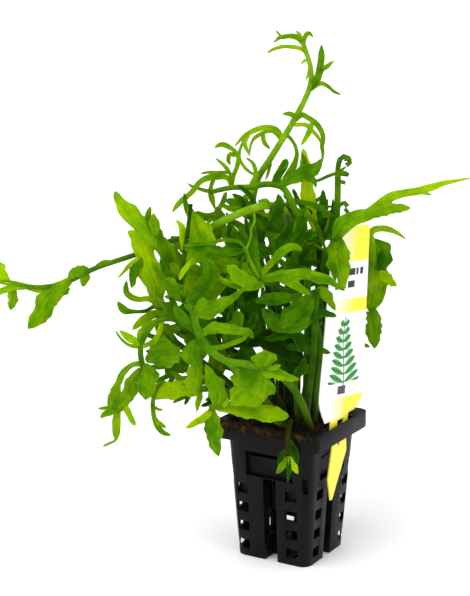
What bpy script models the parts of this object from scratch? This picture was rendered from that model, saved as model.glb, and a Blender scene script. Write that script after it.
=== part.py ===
"""A water sprite, the aquarium fern, growing from a root ball in a black square net pot with a plant tag.

Sizes are in millimetres and become metres as each mesh is made. The origin is the middle of the pot's
foot, +Z is up, and the pot's sides face the X and Y axes.
"""

import math

import bmesh
import bpy
from mathutils import Matrix, Vector

MM = 0.001

# The pot, a moulded square basket with four lobed feet
RIM_SIDE = 55.0
RIM_TOP = 66.8
RIM_BOTTOM = 59.2
RIM_CORNER = 4.5
BODY_TOP_HALF = 23.3
BODY_FOOT_HALF = 19.2
BODY_CORNER = 4.6
BODY_TOP = 66.2
WALL = 1.4
FLOOR = 1.6
RECESS_HALF = 12.4
RECESS_LOW = 41.5
RECESS_HIGH = 53.5
RECESS_DEPTH = 3.0
CHANNEL_HALF = 3.4
CHANNEL_DEPTH = 8.4
CHANNEL_TOP = 41.0
WINDOW_WIDTH = 6.1
WINDOW_HEIGHT = 4.8
WINDOW_MIDDLES = (5.8, 15.2, 24.8, 34.4)
FRONT_LOBE_WINDOW = 11.3
SIDE_LOBE_WINDOW = 14.6
TAG_SLOT_HALF = 13.5

# The roots that fill the upper half of the pot
ROOT_LOW = 30.0
ROOT_TOP = 60.5
ROOT_INSET = 1.9

# The tag, a printed card on a slotted stake
TAG_THICK = 0.6
TAG_TOP = 160.0
TAG_SHOULDER = 69.8
TAG_TIP = 31.0

# The plant is laid out on an upright plane through the pot's axis that faces the viewer. A point is
# given across and up that plane, then moved along the viewer's line of sight by its nearness.
PLANE_TURN = math.radians(28.5)
EYE_DISTANCE = 685.0
EYE_HEIGHT = 275.0
TOWARD = Vector((math.sin(PLANE_TURN), -math.cos(PLANE_TURN), 0.0))
ACROSS = Vector((math.cos(PLANE_TURN), math.sin(PLANE_TURN), 0.0))
EYE = TOWARD * EYE_DISTANCE + Vector((0.0, 0.0, EYE_HEIGHT))

BLADE_THICK = 0.9
FINE_SLACK = 0.5
BROAD_SLACK = 1.3
STALK_SLACK = 0.9
BROAD_FROM = 4.0
LEAST_RUN = 0.15
FLAT_ANGLE = 0.05
TIP_SIZE = 0.5
ROLLS = (11.0, -9.0, 16.0, -14.0, 6.0)
TAG_BENDS = (68.0, 72.0, 76.0, 80.0, 120.0)


def clear_scene():
    for obj in list(bpy.data.objects):
        bpy.data.objects.remove(obj, do_unlink=True)


def srgb(value):
    """A colour from its hexadecimal sRGB name, as the linear numbers that a shader takes."""
    parts = [int(value[i : i + 2], 16) / 255 for i in (1, 3, 5)]
    linear = [c / 12.92 if c <= 0.04045 else ((c + 0.055) / 1.055) ** 2.4 for c in parts]
    return (*linear, 1.0)


def finish(name, colour, roughness, metallic=0.0):
    material = bpy.data.materials.new(name)
    material.use_nodes = True
    shader = material.node_tree.nodes["Principled BSDF"]
    shader.inputs["Base Color"].default_value = srgb(colour)
    shader.inputs["Roughness"].default_value = roughness
    shader.inputs["Metallic"].default_value = metallic
    material.diffuse_color = srgb(colour)
    return material


def object_from(name, bm):
    """The bmesh, drawn in millimetres, as an object in metres."""
    bmesh.ops.scale(bm, vec=Vector((MM, MM, MM)), verts=bm.verts)
    mesh = bpy.data.meshes.new(name)
    bm.to_mesh(mesh)
    bm.free()
    obj = bpy.data.objects.new(name, mesh)
    bpy.context.scene.collection.objects.link(obj)
    return obj


def weld(mesh, flat_angle=None):
    """Merges points that a cut leaves all but together, and faces that lie in one plane."""
    bm = bmesh.new()
    bm.from_mesh(mesh)
    if flat_angle is None:
        bmesh.ops.remove_doubles(bm, verts=bm.verts, dist=0.00001)
        bmesh.ops.dissolve_degenerate(bm, dist=0.00001, edges=bm.edges)
    else:
        bmesh.ops.remove_doubles(bm, verts=bm.verts, dist=0.000001)
        bmesh.ops.dissolve_limit(bm, angle_limit=flat_angle, verts=bm.verts, edges=bm.edges)
        bmesh.ops.triangulate(bm, faces=bm.faces)
    bmesh.ops.delete(bm, geom=specks_of(bm), context="VERTS")
    bm.to_mesh(mesh)
    bm.free()


def specks_of(bm):
    """The points of bodies too small to be a part, which a cut can leave behind."""
    specks = []
    left = set(bm.verts)
    while left:
        body = set()
        front = {left.pop()}
        while front:
            body |= front
            front = {edge.other_vert(vert) for vert in front for edge in vert.link_edges} - body
        left -= body
        if len(body) < 7:
            specks.extend(body)
    return specks


def combine(target, helpers, operation, flat_angle=None):
    """Joins the helpers to the target, or cuts them from it, and removes them."""
    group = bpy.data.collections.new(target.name + "_helpers")
    bpy.context.scene.collection.children.link(group)
    for helper in helpers:
        bpy.context.scene.collection.objects.unlink(helper)
        group.objects.link(helper)
    modifier = target.modifiers.new("combine", "BOOLEAN")
    modifier.operation = operation
    modifier.operand_type = "COLLECTION"
    modifier.collection = group
    modifier.solver = "EXACT"
    graph = bpy.context.evaluated_depsgraph_get()
    graph.update()
    result = bpy.data.meshes.new_from_object(target.evaluated_get(graph))
    target.modifiers.clear()
    target.data = result
    weld(result, flat_angle)
    for helper in helpers:
        bpy.data.objects.remove(helper, do_unlink=True)
    bpy.data.collections.remove(group)
    return target


def box(name, low, high, turn=0.0):
    """A box between two corners, turned about the pot's axis."""
    bm = bmesh.new()
    bmesh.ops.create_cube(bm, size=1.0)
    low, high = Vector(low), Vector(high)
    bmesh.ops.scale(bm, vec=high - low, verts=bm.verts)
    bmesh.ops.translate(bm, vec=(low + high) / 2, verts=bm.verts)
    bmesh.ops.rotate(bm, matrix=Matrix.Rotation(turn, 3, "Z"), verts=bm.verts)
    return object_from(name, bm)


def rounded_square(half, corner, height, steps=3):
    """The points of a square with rounded corners, anticlockwise from above."""
    points = []
    for quarter in range(4):
        start = math.radians(90 * quarter)
        turn = Matrix.Rotation(start, 2)
        middle = turn @ Vector((half - corner, half - corner))
        for step in range(steps + 1):
            angle = start + math.radians(90 * step / steps)
            arm = Vector((math.cos(angle), math.sin(angle))) * corner
            points.append((middle + arm).to_3d() + Vector((0.0, 0.0, height)))
    return points


def skin(bm, rings):
    """Skins a run of rings with equal numbers of points and closes both ends."""
    rows = [[bm.verts.new(point) for point in ring] for ring in rings]
    for low, high in zip(rows, rows[1:]):
        for i in range(len(low)):
            j = (i + 1) % len(low)
            bm.faces.new((low[i], low[j], high[j], high[i]))
    bm.faces.new(reversed(rows[0]))
    bm.faces.new(rows[-1])
    bmesh.ops.recalc_face_normals(bm, faces=bm.faces)


def skinned(name, rings, split=False):
    """The skinned rings as an object; a twisted skin is split into triangles, so that every face is flat."""
    bm = bmesh.new()
    skin(bm, rings)
    if split:
        bmesh.ops.triangulate(bm, faces=bm.faces)
    return object_from(name, bm)


def body_half(height):
    """Half the width of the tapering pot body at a height."""
    return BODY_FOOT_HALF + (BODY_TOP_HALF - BODY_FOOT_HALF) * height / BODY_TOP


def side_cutter(name, half_width, depth, low, high, turn):
    """A block that cuts into one side of the tapering body to an even depth."""
    rings = []
    for height in (low, high):
        inner = -body_half(height) + depth
        outer = -RIM_SIDE
        rings.append(
            [
                Vector((-half_width, outer, height)),
                Vector((half_width, outer, height)),
                Vector((half_width, inner, height)),
                Vector((-half_width, inner, height)),
            ]
        )
    cutter = skinned(name, rings)
    cutter.data.transform(Matrix.Rotation(turn, 4, "Z"))
    return cutter


def body_form(name, inset, low, high):
    """The four-lobed body, drawn in by an inset from the outer skin all round."""
    rings = [rounded_square(body_half(z) - inset, BODY_CORNER - inset / 2, z) for z in (low, high)]
    form = skinned(name, rings)
    cutters = []
    for side in range(4):
        turn = math.radians(90 * side)
        recess = (RECESS_HALF + inset, RECESS_DEPTH + inset, RECESS_LOW - inset, RECESS_HIGH + inset)
        cutters.append(side_cutter("recess", *recess, turn))
        channel = (CHANNEL_HALF + inset, CHANNEL_DEPTH + inset, -RIM_SIDE, CHANNEL_TOP + inset / 2)
        cutters.append(side_cutter("channel", *channel, turn))
    return combine(form, cutters, "DIFFERENCE")


def pot_openings():
    """The windows, slots and drain holes, as blocks that run through the wall."""
    blocks = []
    far = RIM_SIDE
    for side in range(4):
        turn = math.radians(90 * side)
        # On the two sides next to the front corner, the near lobe has its windows further in.
        right = FRONT_LOBE_WINDOW if side in (0, 2) else SIDE_LOBE_WINDOW
        left = SIDE_LOBE_WINDOW if side in (0, 2) else FRONT_LOBE_WINDOW
        for middle in (right, -left):
            for height in WINDOW_MIDDLES:
                low = (middle - WINDOW_WIDTH / 2, -far, height - WINDOW_HEIGHT / 2)
                high = (middle + WINDOW_WIDTH / 2, -body_half(height) + 4.0, height + WINDOW_HEIGHT / 2)
                blocks.append(box("window", low, high, turn))
        back = -body_half(0) + CHANNEL_DEPTH
        # The channel's inner end is open low down, right across, so that light shows through the pot.
        blocks.append(box("channel_slot", (-5.2, back - 4.0, 5.0), (5.2, back + 4.0, 23.0), turn))
        blocks.append(box("channel_slot", (-2.4, back - 4.5, 25.0), (2.4, back + 2.5, 38.0), turn))
        blocks.append(box("recess_slit", (-11.4, -far, 50.6), (11.4, -body_half(52) + 6.0, 52.9), turn))
        blocks.append(box("corner_slot", (17.6, -far, 37.0), (20.0, -body_half(40) + 4.4, 44.5), turn))
        blocks.append(box("drain", (8.6, -14.6, -5.0), (13.6, -9.6, FLOOR + 2.0), turn))
    return blocks


def make_pot():
    pot = body_form("net_pot", 0.0, 0.0, BODY_TOP)
    cavity = body_form("cavity", WALL, FLOOR, BODY_TOP + 5.0)
    combine(pot, [cavity], "DIFFERENCE")
    combine(pot, pot_openings(), "DIFFERENCE")
    half = RIM_SIDE / 2
    band = skinned("band", [rounded_square(half, RIM_CORNER, z) for z in (RIM_BOTTOM, RIM_TOP)])
    under = skinned(
        "under",
        [rounded_square(half - WALL, RIM_CORNER - 1.0, z) for z in (RIM_BOTTOM - 5.0, RIM_TOP - WALL)],
    )
    mouth = skinned(
        "mouth",
        [rounded_square(BODY_TOP_HALF - WALL / 2, BODY_CORNER, z) for z in (RIM_BOTTOM - 5.0, RIM_TOP + 5.0)],
    )
    slots = []
    for side in range(4):
        low = (-TAG_SLOT_HALF, -half + WALL, RIM_TOP - 5.0)
        high = (TAG_SLOT_HALF, -BODY_TOP_HALF - 0.1, RIM_TOP + 5.0)
        slots.append(box("tag_slot", low, high, math.radians(90 * side)))
    combine(band, [under, mouth, *slots], "DIFFERENCE")
    combine(pot, [band], "UNION")
    pot.data.materials.clear()
    pot.data.materials.append(finish("black_moulded_plastic", "#1b1b1c", 0.45))
    return pot


def make_roots():
    """Roots packed to the shape of the pot's inside, with lumps where the stalks come up."""
    roots = body_form("root_ball", ROOT_INSET, ROOT_LOW, ROOT_TOP)
    lumps = []
    places = ((1.0, 0.5, 12.0), (-11.0, 9.0, 8.5), (10.0, 10.5, 8.0), (-10.5, -9.0, 9.5), (9.5, -10.0, 9.0))
    for x, y, size in places:
        bm = bmesh.new()
        bmesh.ops.create_icosphere(bm, subdivisions=1, radius=size)
        bmesh.ops.scale(bm, vec=Vector((1.0, 1.0, 0.3)), verts=bm.verts)
        bmesh.ops.rotate(bm, matrix=Matrix.Rotation(x + y, 3, "Z"), verts=bm.verts)
        bmesh.ops.translate(bm, vec=Vector((x, y, ROOT_TOP - 0.4)), verts=bm.verts)
        lumps.append(object_from("lump", bm))
    combine(roots, lumps, "UNION")
    roots.data.materials.clear()
    roots.data.materials.append(finish("matted_roots", "#3b2a18", 0.9))
    return roots


def tag_place(along, height, off):
    """Carries a point of the flat tag to where the bent, twisted tag has it."""
    rise = min(max((height - 67.5) / 12.0, 0.0), 1.0)
    ease = rise * rise * (3 - 2 * rise)
    turn = math.radians(61.5 - 21.5 * ease)
    run = ACROSS * math.cos(turn) - TOWARD * math.sin(turn)
    out = TOWARD * math.cos(turn) + ACROSS * math.sin(turn)
    lean = max(height - 80.0, 0.0) / 80.0
    middle = Vector((24.65 + 4.4 * lean, 1.2 + 0.8 * ease, height))
    return middle + run * along + out * off


def flat_plate(name, outline):
    bm = bmesh.new()
    low = [bm.verts.new((x, -TAG_THICK / 2, z)) for x, z in outline]
    face = bm.faces.new(low)
    made = bmesh.ops.extrude_face_region(bm, geom=[face])["geom"]
    moved = [item for item in made if isinstance(item, bmesh.types.BMVert)]
    bmesh.ops.translate(bm, vec=Vector((0.0, TAG_THICK, 0.0)), verts=moved)
    bmesh.ops.recalc_face_normals(bm, faces=bm.faces)
    return object_from(name, bm)


def make_tag():
    outline = (
        (-8.6, TAG_TIP), (-6.8, TAG_TIP), (7.3, 51.5), (7.0, 57.0), (8.2, 63.0), (8.2, TAG_SHOULDER),
        (14.0, TAG_SHOULDER), (11.0, TAG_TOP - 1.6), (9.6, TAG_TOP), (-9.6, TAG_TOP), (-11.0, TAG_TOP - 1.6),
        (-14.0, TAG_SHOULDER), (-9.6, TAG_SHOULDER), (-9.6, 62.0), (-7.4, 57.0), (-11.3, 42.0),
    )
    tag = flat_plate("plant_tag", outline)
    slot_outline = ((-1.0, 55.6), (0.6, 57.8), (3.4, 57.8), (3.4, 68.4), (-2.6, 68.4), (-2.6, 57.8))
    slot = flat_plate("slot", slot_outline)
    slot.data.transform(Matrix.Diagonal((1.0, 3.0, 1.0, 1.0)))
    combine(tag, [slot], "DIFFERENCE")
    bm = bmesh.new()
    bm.from_mesh(tag.data)
    bmesh.ops.scale(bm, vec=Vector((1 / MM, 1 / MM, 1 / MM)), verts=bm.verts)
    for height in TAG_BENDS:
        cut = {"plane_co": (0, 0, height), "plane_no": (0, 0, 1), "dist": 0.0001}
        bmesh.ops.bisect_plane(bm, geom=bm.verts[:] + bm.edges[:] + bm.faces[:], **cut)
    bmesh.ops.triangulate(bm, faces=bm.faces)
    for vert in bm.verts:
        vert.co = tag_place(vert.co.x, vert.co.z, -vert.co.y)
    bmesh.ops.scale(bm, vec=Vector((MM, MM, MM)), verts=bm.verts)
    bmesh.ops.recalc_face_normals(bm, faces=bm.faces)
    bm.to_mesh(tag.data)
    bm.free()
    tag.data.materials.clear()
    tag.data.materials.append(finish("white_card", "#f4f3ea", 0.4))
    return tag


def place(across, up, near):
    """A point of the drawing plane, moved towards the viewer's eye by its nearness."""
    on_plane = ACROSS * across + Vector((0.0, 0.0, up))
    return on_plane + (EYE - on_plane) * (near / EYE_DISTANCE)


def blend(values, share):
    """The value at a share of the way along an evenly spaced list."""
    if not isinstance(values, tuple):
        return values
    spot = share * (len(values) - 1)
    low = min(int(spot), len(values) - 2)
    return values[low] + (values[low + 1] - values[low]) * (spot - low)


def curve_through(points, slack):
    """Points on a smooth curve through the given points, close together only where it bends."""
    points = [Vector(point) for point in points]
    padded = [2 * points[0] - points[1], *points, 2 * points[-1] - points[-2]]
    dense = []
    for i in range(1, len(padded) - 2):
        a, b, c, d = padded[i - 1 : i + 3]
        for k in range(8):
            t = k / 8
            bend, twist = 2 * a - 5 * b + 4 * c - d, 3 * b - a - 3 * c + d
            dense.append(0.5 * (2 * b + (c - a) * t + bend * t**2 + twist * t**3))
    dense.append(points[-1])
    return thinned(dense, slack)


def thinned(points, slack):
    """Leaves out the points that lie within the slack of a straight run past them."""
    first, last = points[0], points[-1]
    run = last - first
    worst, where = 0.0, 0
    for i, point in enumerate(points[1:-1], 1):
        share = (point - first).dot(run) / max(run.dot(run), 0.01)
        gap = (first + run * share - point).length
        if gap > worst:
            worst, where = gap, i
    if worst < slack:
        return [first, last]
    return thinned(points[: where + 1], slack)[:-1] + thinned(points[where:], slack)


def stalk(radius, near, *points):
    """A round stalk through points given as across and up; radius and nearness change evenly along it."""
    return {"kind": "stalk", "radius": radius, "near": near, "points": points}


def blade(near, *points):
    """A flat leaf lobe through points given as across, up and width."""
    return {"kind": "blade", "near": near, "points": points}


def course(part, slack):
    """The part's middle line in space, with the width or radius at each point."""
    count = len(part["points"])
    raised = []
    for i, point in enumerate(part["points"]):
        share = i / (count - 1)
        spot = place(point[0], point[1], blend(part["near"], share))
        size = point[2] if part["kind"] == "blade" else blend(part["radius"], share)
        raised.append((*spot, size))
    return curve_through(raised, slack)


def rings_of(part):
    """Cross-sections along the part: a low ridge on a leaf lobe, a triangle on a stalk."""
    flat = part["kind"] == "blade"
    broad = flat and max(point[2] for point in part["points"]) > BROAD_FROM
    line = course(part, BROAD_SLACK if broad else FINE_SLACK if flat else STALK_SLACK)
    rings = []
    previous = None
    for i, point in enumerate(line):
        middle = point.to_3d()
        before, after = line[max(i - 1, 0)].to_3d(), line[min(i + 1, len(line) - 1)].to_3d()
        forward = (after - before).normalized()
        sight = (EYE - middle).normalized()
        side = forward.cross(sight)
        if side.length < 0.4 and previous is not None:
            side = previous - forward * previous.dot(forward)
        side.normalize()
        if previous is not None and side.dot(previous) < 0:
            side.negate()
        previous = side.copy()
        if flat:
            side = Matrix.Rotation(math.radians(part["roll"]), 3, forward) @ side
        out = side.cross(forward)
        size = max(point[3], TIP_SIZE)
        if flat:
            thick = min(BLADE_THICK, 0.35 + size * 0.25)
            rings.append([middle - side * size / 2 - out * thick * 0.3, middle + out * thick * 0.7,
                          middle + side * size / 2 - out * thick * 0.3])
        else:
            rings.append([middle - side * size - out * size * 0.6, middle + out * size * 1.1,
                          middle + side * size - out * size * 0.6])
    return unfolded(rings)


def unfolded(rings):
    """Leaves out rings that would fold back over the ones before them at a sharp bend."""
    kept = [rings[0]]
    for ring in rings[1:]:
        while len(kept) > 1 and folds(kept[-1], ring) and ring is rings[-1]:
            kept.pop()
        if len(kept) == 1 or not folds(kept[-1], ring):
            kept.append(ring)
    return kept


def folds(low, high):
    run = sum(high, Vector()) - sum(low, Vector())
    return any((b - a).dot(run.normalized()) < LEAST_RUN for a, b in zip(low, high))


def make_frond(name, parts, material):
    """A frond: its stalk and lobes, fused into one solid."""
    for k, part in enumerate(parts):
        # Each lobe is turned a little about its own line, as no two lie in one plane.
        part["roll"] = ROLLS[k % len(ROLLS)]
    solids = [skinned(name + "_part", rings_of(part), split=True) for part in parts]
    solids[0].name = name
    if len(solids) > 1:
        combine(solids[0], solids[1:], "UNION", math.radians(FLAT_ANGLE))
    solids[0].data.materials.clear()
    solids[0].data.materials.append(material)
    return solids[0]


FRONDS = {
    "tall_frond": [
        stalk((1.7, 1.5, 1.4, 1.1, 0.9), (-4, -9, -9, -8, -5, -3, -2, 0, 0, 0), (0.5, 68.5), (-3, 95),
              (-12, 130), (-19, 158), (-17.3, 177.5), (-10.3, 190), (-1.2, 205), (6.3, 220), (7.2, 230),
              (3.4, 242.2)),
        blade(0, (3.6, 241, 2), (4.8, 245, 2), (6.5, 246, 1.6), (8.2, 244.3, 0.6)),
        blade(0, (4.4, 240.6, 2.2), (1, 244, 2.3), (-2, 244.7, 2), (-5.5, 244.2, 1.8), (-8.4, 243.8, 1)),
        blade(0, (-5.6, 243.8, 1.4), (-8.6, 247.3, 0.6)),
        blade(0, (-6.4, 244.2, 1.5), (-9.7, 242, 0.6)),
        blade(0, (2.8, 243, 1.6), (2, 245.4, 1.7), (0.3, 246.8, 0.6)),
        blade(0, (4.9, 237.6, 1.6), (1.9, 239.5, 1.6), (-4.2, 240.1, 1.5), (-10, 238.8, 1.1),
              (-12.5, 237.3, 0.5)),
        blade(0, (6.8, 233.9, 1.4), (4.3, 233.7, 1.3), (2.8, 232.2, 0.5)),
        blade(0, (7, 230.6, 2), (5.2, 225.2, 0.6)),
        blade((0, 2, 3), (6.6, 221, 2.4), (9.4, 224.3, 3.3), (11.1, 227.7, 3.5), (11.5, 233.3, 3.3),
              (11.8, 237.6, 2.4), (12, 241, 0.6)),
        blade((1, 4), (11.2, 228.6, 1.8), (13.2, 230.5, 2), (15.4, 232, 1.7), (17.8, 233.7, 0.5)),
        blade((0, 3), (6.4, 220.4, 2.2), (11.3, 223.6, 1.8), (14.6, 222.5, 1.5), (17.6, 220, 1.3),
              (20.9, 218.7, 0.5)),
        blade((-1, 2), (1.5, 207.8, 2), (-1.6, 209.7, 2.3), (-5.3, 209.5, 0.7)),
        blade((-2, 5, 3), (0.2, 206.6, 2), (3.2, 209.3, 2.2), (5.9, 208.2, 2.3), (9.4, 206, 2.3),
              (12, 202.9, 2.3), (13.3, 199, 2.1), (12.7, 195.3, 2), (13.1, 191.9, 1.6),
              (12.6, 187.5, 0.6)),
        blade((-2, 0), (-0.6, 204.8, 1.6), (5, 205, 1.7), (8, 202.5, 1.7), (11.1, 199, 1.4),
              (12.4, 196.4, 0.8)),
        blade((3, 6), (8.4, 206.4, 2), (6.3, 200.7, 2.5), (3.2, 195.4, 0.7)),
        blade((-3, 3), (-4.9, 198.4, 2), (-8.1, 202.9, 2), (-14.2, 203.5, 2.2), (-21.7, 200.4, 1.9),
              (-27.3, 194.9, 0.6)),
        blade((-3, -7), (-5.4, 197.4, 1.8), (-10.3, 202, 1.7), (-17.3, 199.3, 1.6), (-19.7, 195.6, 1.3),
              (-20.4, 191, 0.5)),
        blade((-4.6, -8), (-14.4, 201.4, 1.8), (-13.8, 197.1, 2.2), (-11.2, 193.8, 0.6)),
        blade((1, 5), (-20.6, 200.8, 1.6), (-22.5, 195.8, 2), (-19.9, 190.5, 0.6)),
        blade((1, 3), (-21.6, 200.2, 1.3), (-24.8, 193, 1.3), (-24.6, 188.6, 1.3), (-21.6, 184.4, 1.4),
              (-16.9, 181.2, 0.6)),
        blade((-3, 1, 4), (-6.6, 196.6, 1.6), (-3.3, 199.8, 1.5), (0.2, 195.8, 1.5), (1.4, 191.6, 1.9),
              (0.7, 187.8, 2.7), (-0.6, 184.8, 3.1), (-2.9, 182.2, 2.7), (-5.4, 180, 1.2)),
        blade((-3.4, -5), (-11, 188.8, 1.6), (-10.8, 186, 1.5), (-11.7, 183.2, 1.4), (-12.9, 179.6, 0.7)),
    ],
    "level_frond": [
        stalk((1.6, 1.4, 1.3, 1.3, 1.2, 0.9), (13, 14, 13, 11, 10.5, 10, 9.5, 9, 8, 8, 8), (3.5, 61),
              (7.4, 90), (7, 125), (4.6, 152), (0.8, 165), (-2.1, 171.8), (-6, 176.4), (-13, 177.4),
              (-20, 176), (-28.8, 175.7), (-38.5, 173.5)),
        blade((9.5, 9.5, 8), (-6.4, 177, 3), (-0.5, 180.3, 5), (5.6, 183.2, 6), (10.1, 185.4, 4.6),
              (12.4, 189.4, 1)),
        blade((9, 7), (3.9, 182.6, 2.6), (5, 187.3, 2.5), (3.6, 191.8, 0.7)),
        blade((9, 11), (5.4, 181.6, 2), (9, 179.8, 2.6), (10, 176, 0.7)),
        blade((9.4, 9, 9), (3, 181, 1.8), (9.6, 179.2, 1.3), (15.2, 181.2, 1.2), (20.2, 183.2, 1.2),
              (23.8, 186, 0.8)),
        blade((8, 10), (-28.4, 176, 2), (-30.5, 180.2, 2.4), (-35, 180.8, 2.6), (-40.2, 180.1, 2.5),
              (-43.8, 177.9, 2.3), (-47.2, 173.4, 2.3), (-52.5, 168.6, 2.5), (-56, 164.3, 0.7)),
        blade((8, 6), (-37, 173.8, 1.6), (-42, 174.8, 1.5), (-46.4, 176.2, 1.2), (-48.6, 177.7, 0.5)),
        blade(8, (-36.6, 180.6, 1.7), (-38, 176, 2.2), (-37.8, 171, 2.7), (-36.3, 165.9, 0.8)),
        blade((8, 5), (-28.6, 175.4, 2), (-27.9, 181, 2.1), (-26.1, 185.5, 2.1), (-25.2, 189.9, 2.1),
              (-27.6, 193.4, 1.9), (-32.7, 195.6, 2.3), (-36.3, 194.3, 0.7)),
        blade((6.5, 4), (-25.8, 190.6, 1.5), (-29.2, 191.3, 2.1), (-29.9, 189, 2.1), (-29.2, 186.4, 0.7)),
        blade((8, 11), (-28.4, 177.4, 1.6), (-28.8, 181, 1.7), (-32, 186, 1.6), (-35.8, 189.4, 0.6)),
        blade((9, 12), (-29.8, 183, 1.3), (-35, 182.8, 1.4), (-39.3, 183, 1.2), (-42.9, 182.3, 0.5)),
        blade((9, 11), (-9.6, 177, 2.8), (-8.3, 179, 3.6), (-5.7, 184.2, 4), (-4.2, 187.6, 3.2),
              (-3.6, 189.4, 1.2)),
        blade((8, 4), (-20, 176.6, 1.8), (-17.6, 181.4, 2.2), (-18.6, 186.8, 1.6), (-21.8, 189.8, 0.6)),
        blade((8, 12), (-18, 175.8, 2), (-22, 171, 2.8), (-26.6, 168, 2.2), (-30.4, 167.4, 0.7)),
    ],
    "long_left_frond": [
        stalk((1.7, 1.6, 1.6, 1.6, 1.6, 1.2, 1.1, 1, 0.9),
              (0, -3, -3, -2, 6, 14, 19, 21, 21, 19, 14, 9.5, 7, 9, 9, 9, 9), (-6, 66.5), (-4, 100), (-2, 135),
              (-1.4, 152), (-2.4, 161), (-6, 166.2), (-12, 167.4), (-20, 165.7), (-31.4, 160.7), (-39.3, 156.6),
              (-48, 153), (-57, 150.5), (-72.6, 144.3), (-92, 137.5), (-106, 130.6), (-119, 128),
              (-131, 129.2)),
        blade(8, (-93, 137.2, 1.4), (-88.6, 140.2, 2), (-84, 140.4, 1.6), (-80, 141.4, 0.8)),
        blade((8, 11), (-94.6, 136.2, 2), (-98.5, 136.6, 4), (-102, 135.2, 4.4), (-105.6, 132.6, 2)),
        blade((8, 10), (-96.4, 136, 3), (-97.6, 132.4, 4.4), (-98.9, 128.8, 0.9)),
        blade((9, 12, 15), (-103.6, 132.4, 2.2), (-108, 129, 5.4), (-112, 125, 7.2), (-116, 120.5, 8.6),
              (-119.6, 115, 7.6), (-122.4, 110.6, 5), (-124.6, 107.8, 1)),
        blade((9, 8), (-107.4, 129.8, 3.6), (-107.6, 126.6, 4.8), (-108.4, 124, 3.4)),
        blade(9, (-111, 129.2, 2), (-117, 127.4, 3.4), (-123, 128, 2.9), (-128, 129.1, 2.3),
              (-134, 130.2, 2.3), (-140, 131.4, 1)),
        blade((9, 11), (-124, 128.4, 1.8), (-129, 128, 2.6), (-134, 127, 2.9), (-140, 125, 2.6),
              (-146, 122, 0.8)),
        blade((9, 12), (-131, 127.8, 3), (-131.8, 123.5, 4.4), (-132.3, 120, 3.8), (-132.6, 117, 1.8)),
        blade((9, 6), (-132.8, 129.8, 2.2), (-135.6, 133, 4.2), (-137.6, 137, 4.6), (-138.8, 141, 1.8)),
    ],
    "broad_left_frond": [
        stalk((1.6, 1.5, 1.4, 1.3, 1.2), (11, 15, 17, 17, 17, 16), (-8.5, 63.5), (-20, 80), (-36, 98),
              (-50, 111), (-60, 119), (-64, 128)),
        blade((17, 17, 15.6, 14), (-61.4, 117.4, 3), (-63.4, 122.9, 6), (-63.6, 128.1, 9.4),
              (-64.8, 132.5, 12), (-66.9, 137.7, 10.8), (-69, 142.8, 7.6), (-71.1, 148, 8),
              (-74.2, 152.4, 5.4), (-77.2, 154.6, 1)),
        blade((17, 16, 15, 12, 9, 8), (-58, 127.4, 2.4), (-57.4, 135, 3.4), (-60.3, 145.1, 5),
              (-64.5, 151.8, 7), (-68.1, 155.6, 7.6), (-73.1, 160.2, 8.4), (-77.3, 164.9, 7.4),
              (-80.7, 169.6, 5), (-82.2, 174, 1.4)),
        blade((16, 17), (-59.4, 142, 2.4), (-62, 148, 4.6), (-63.6, 154, 5), (-64.3, 159, 4.4),
              (-64.6, 163.7, 1.4)),
        stalk((1.3, 1.1), 17, (-51, 112), (-55.6, 119), (-58.2, 128)),
        blade((16.4, 14), (-63.2, 152, 3), (-66.2, 157.6, 3), (-67.5, 162.6, 3.2), (-66.3, 166.8, 0.8)),
        blade((16.6, 20, 22), (-57, 134, 2), (-58.2, 138.4, 3.4), (-60.3, 144.3, 4), (-61.8, 150.3, 3.6),
              (-61.2, 156.2, 0.8)),
        blade((17, 15), (-55.6, 128, 2), (-55, 135, 5), (-55.6, 141, 6.6), (-57.2, 146, 5.8),
              (-59.2, 150, 3.6), (-60.6, 152.6, 1)),
        blade((16, 18), (-71.6, 142.6, 2), (-77, 138.6, 1.7), (-79.6, 135.4, 1.1), (-81.8, 132.8, 0.5)),
        blade((16.8, 19), (-74.6, 140.6, 1.2), (-76.8, 138, 1.4), (-78.6, 135.8, 0.5)),
        blade((16, 19), (-70.6, 142.6, 3.4), (-73.6, 137, 4.2), (-75, 132, 3.2), (-75.8, 128.3, 1)),
        blade((17, 20), (-61.8, 119.6, 3), (-67.5, 122.9, 2.2), (-72, 122.8, 2.2), (-76, 124.3, 2.8),
              (-78.1, 127, 3), (-78, 131.8, 0.7)),
        blade((17, 14), (-59.6, 118.4, 2.2), (-65, 119.3, 1.8), (-69, 117.3, 1.6), (-75, 116.8, 1.7),
              (-78.6, 117, 3.4), (-80.8, 118.9, 3), (-82.5, 121.5, 0.6)),
        blade((17, 20), (-57.6, 117, 2.4), (-64.5, 115.9, 3.6), (-69, 113.3, 4), (-72.5, 111, 3.2),
              (-75.6, 108.5, 0.8)),
    ],
    "drooping_left_frond": [
        stalk((1.6, 1.4, 1.2, 1.1, 1.1, 1.1), (17, 26, 30, 31, 31, 31, 31, 32), (-7, 61), (-24, 85),
              (-42, 104), (-54, 112.6), (-63, 112.4), (-69, 106), (-71.8, 98), (-70.6, 89)),
        blade((31.4, 31), (-62.6, 113, 2), (-67.7, 110, 3.8), (-70.5, 106, 4.4), (-72.4, 101.5, 3)),
        blade((31, 34), (-71.6, 100.8, 2.4), (-75, 103, 3.2), (-78.5, 105, 3.2), (-81.7, 107.6, 0.7)),
        blade((31, 28), (-71.8, 99.8, 1.8), (-77, 100.6, 1.3), (-80.5, 103.3, 1), (-83.4, 107.6, 0.5)),
        blade((31, 33, 31), (-61.4, 113, 2), (-62.2, 108.5, 2.4), (-64.5, 103.5, 2.2), (-68, 101.2, 2),
              (-72, 99.4, 1.4)),
        blade((31.6, 34), (-69.2, 93, 3.2), (-65, 95.4, 9), (-60.4, 96.8, 13.5), (-56.4, 98.2, 11),
              (-53, 99.6, 1.5)),
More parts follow.
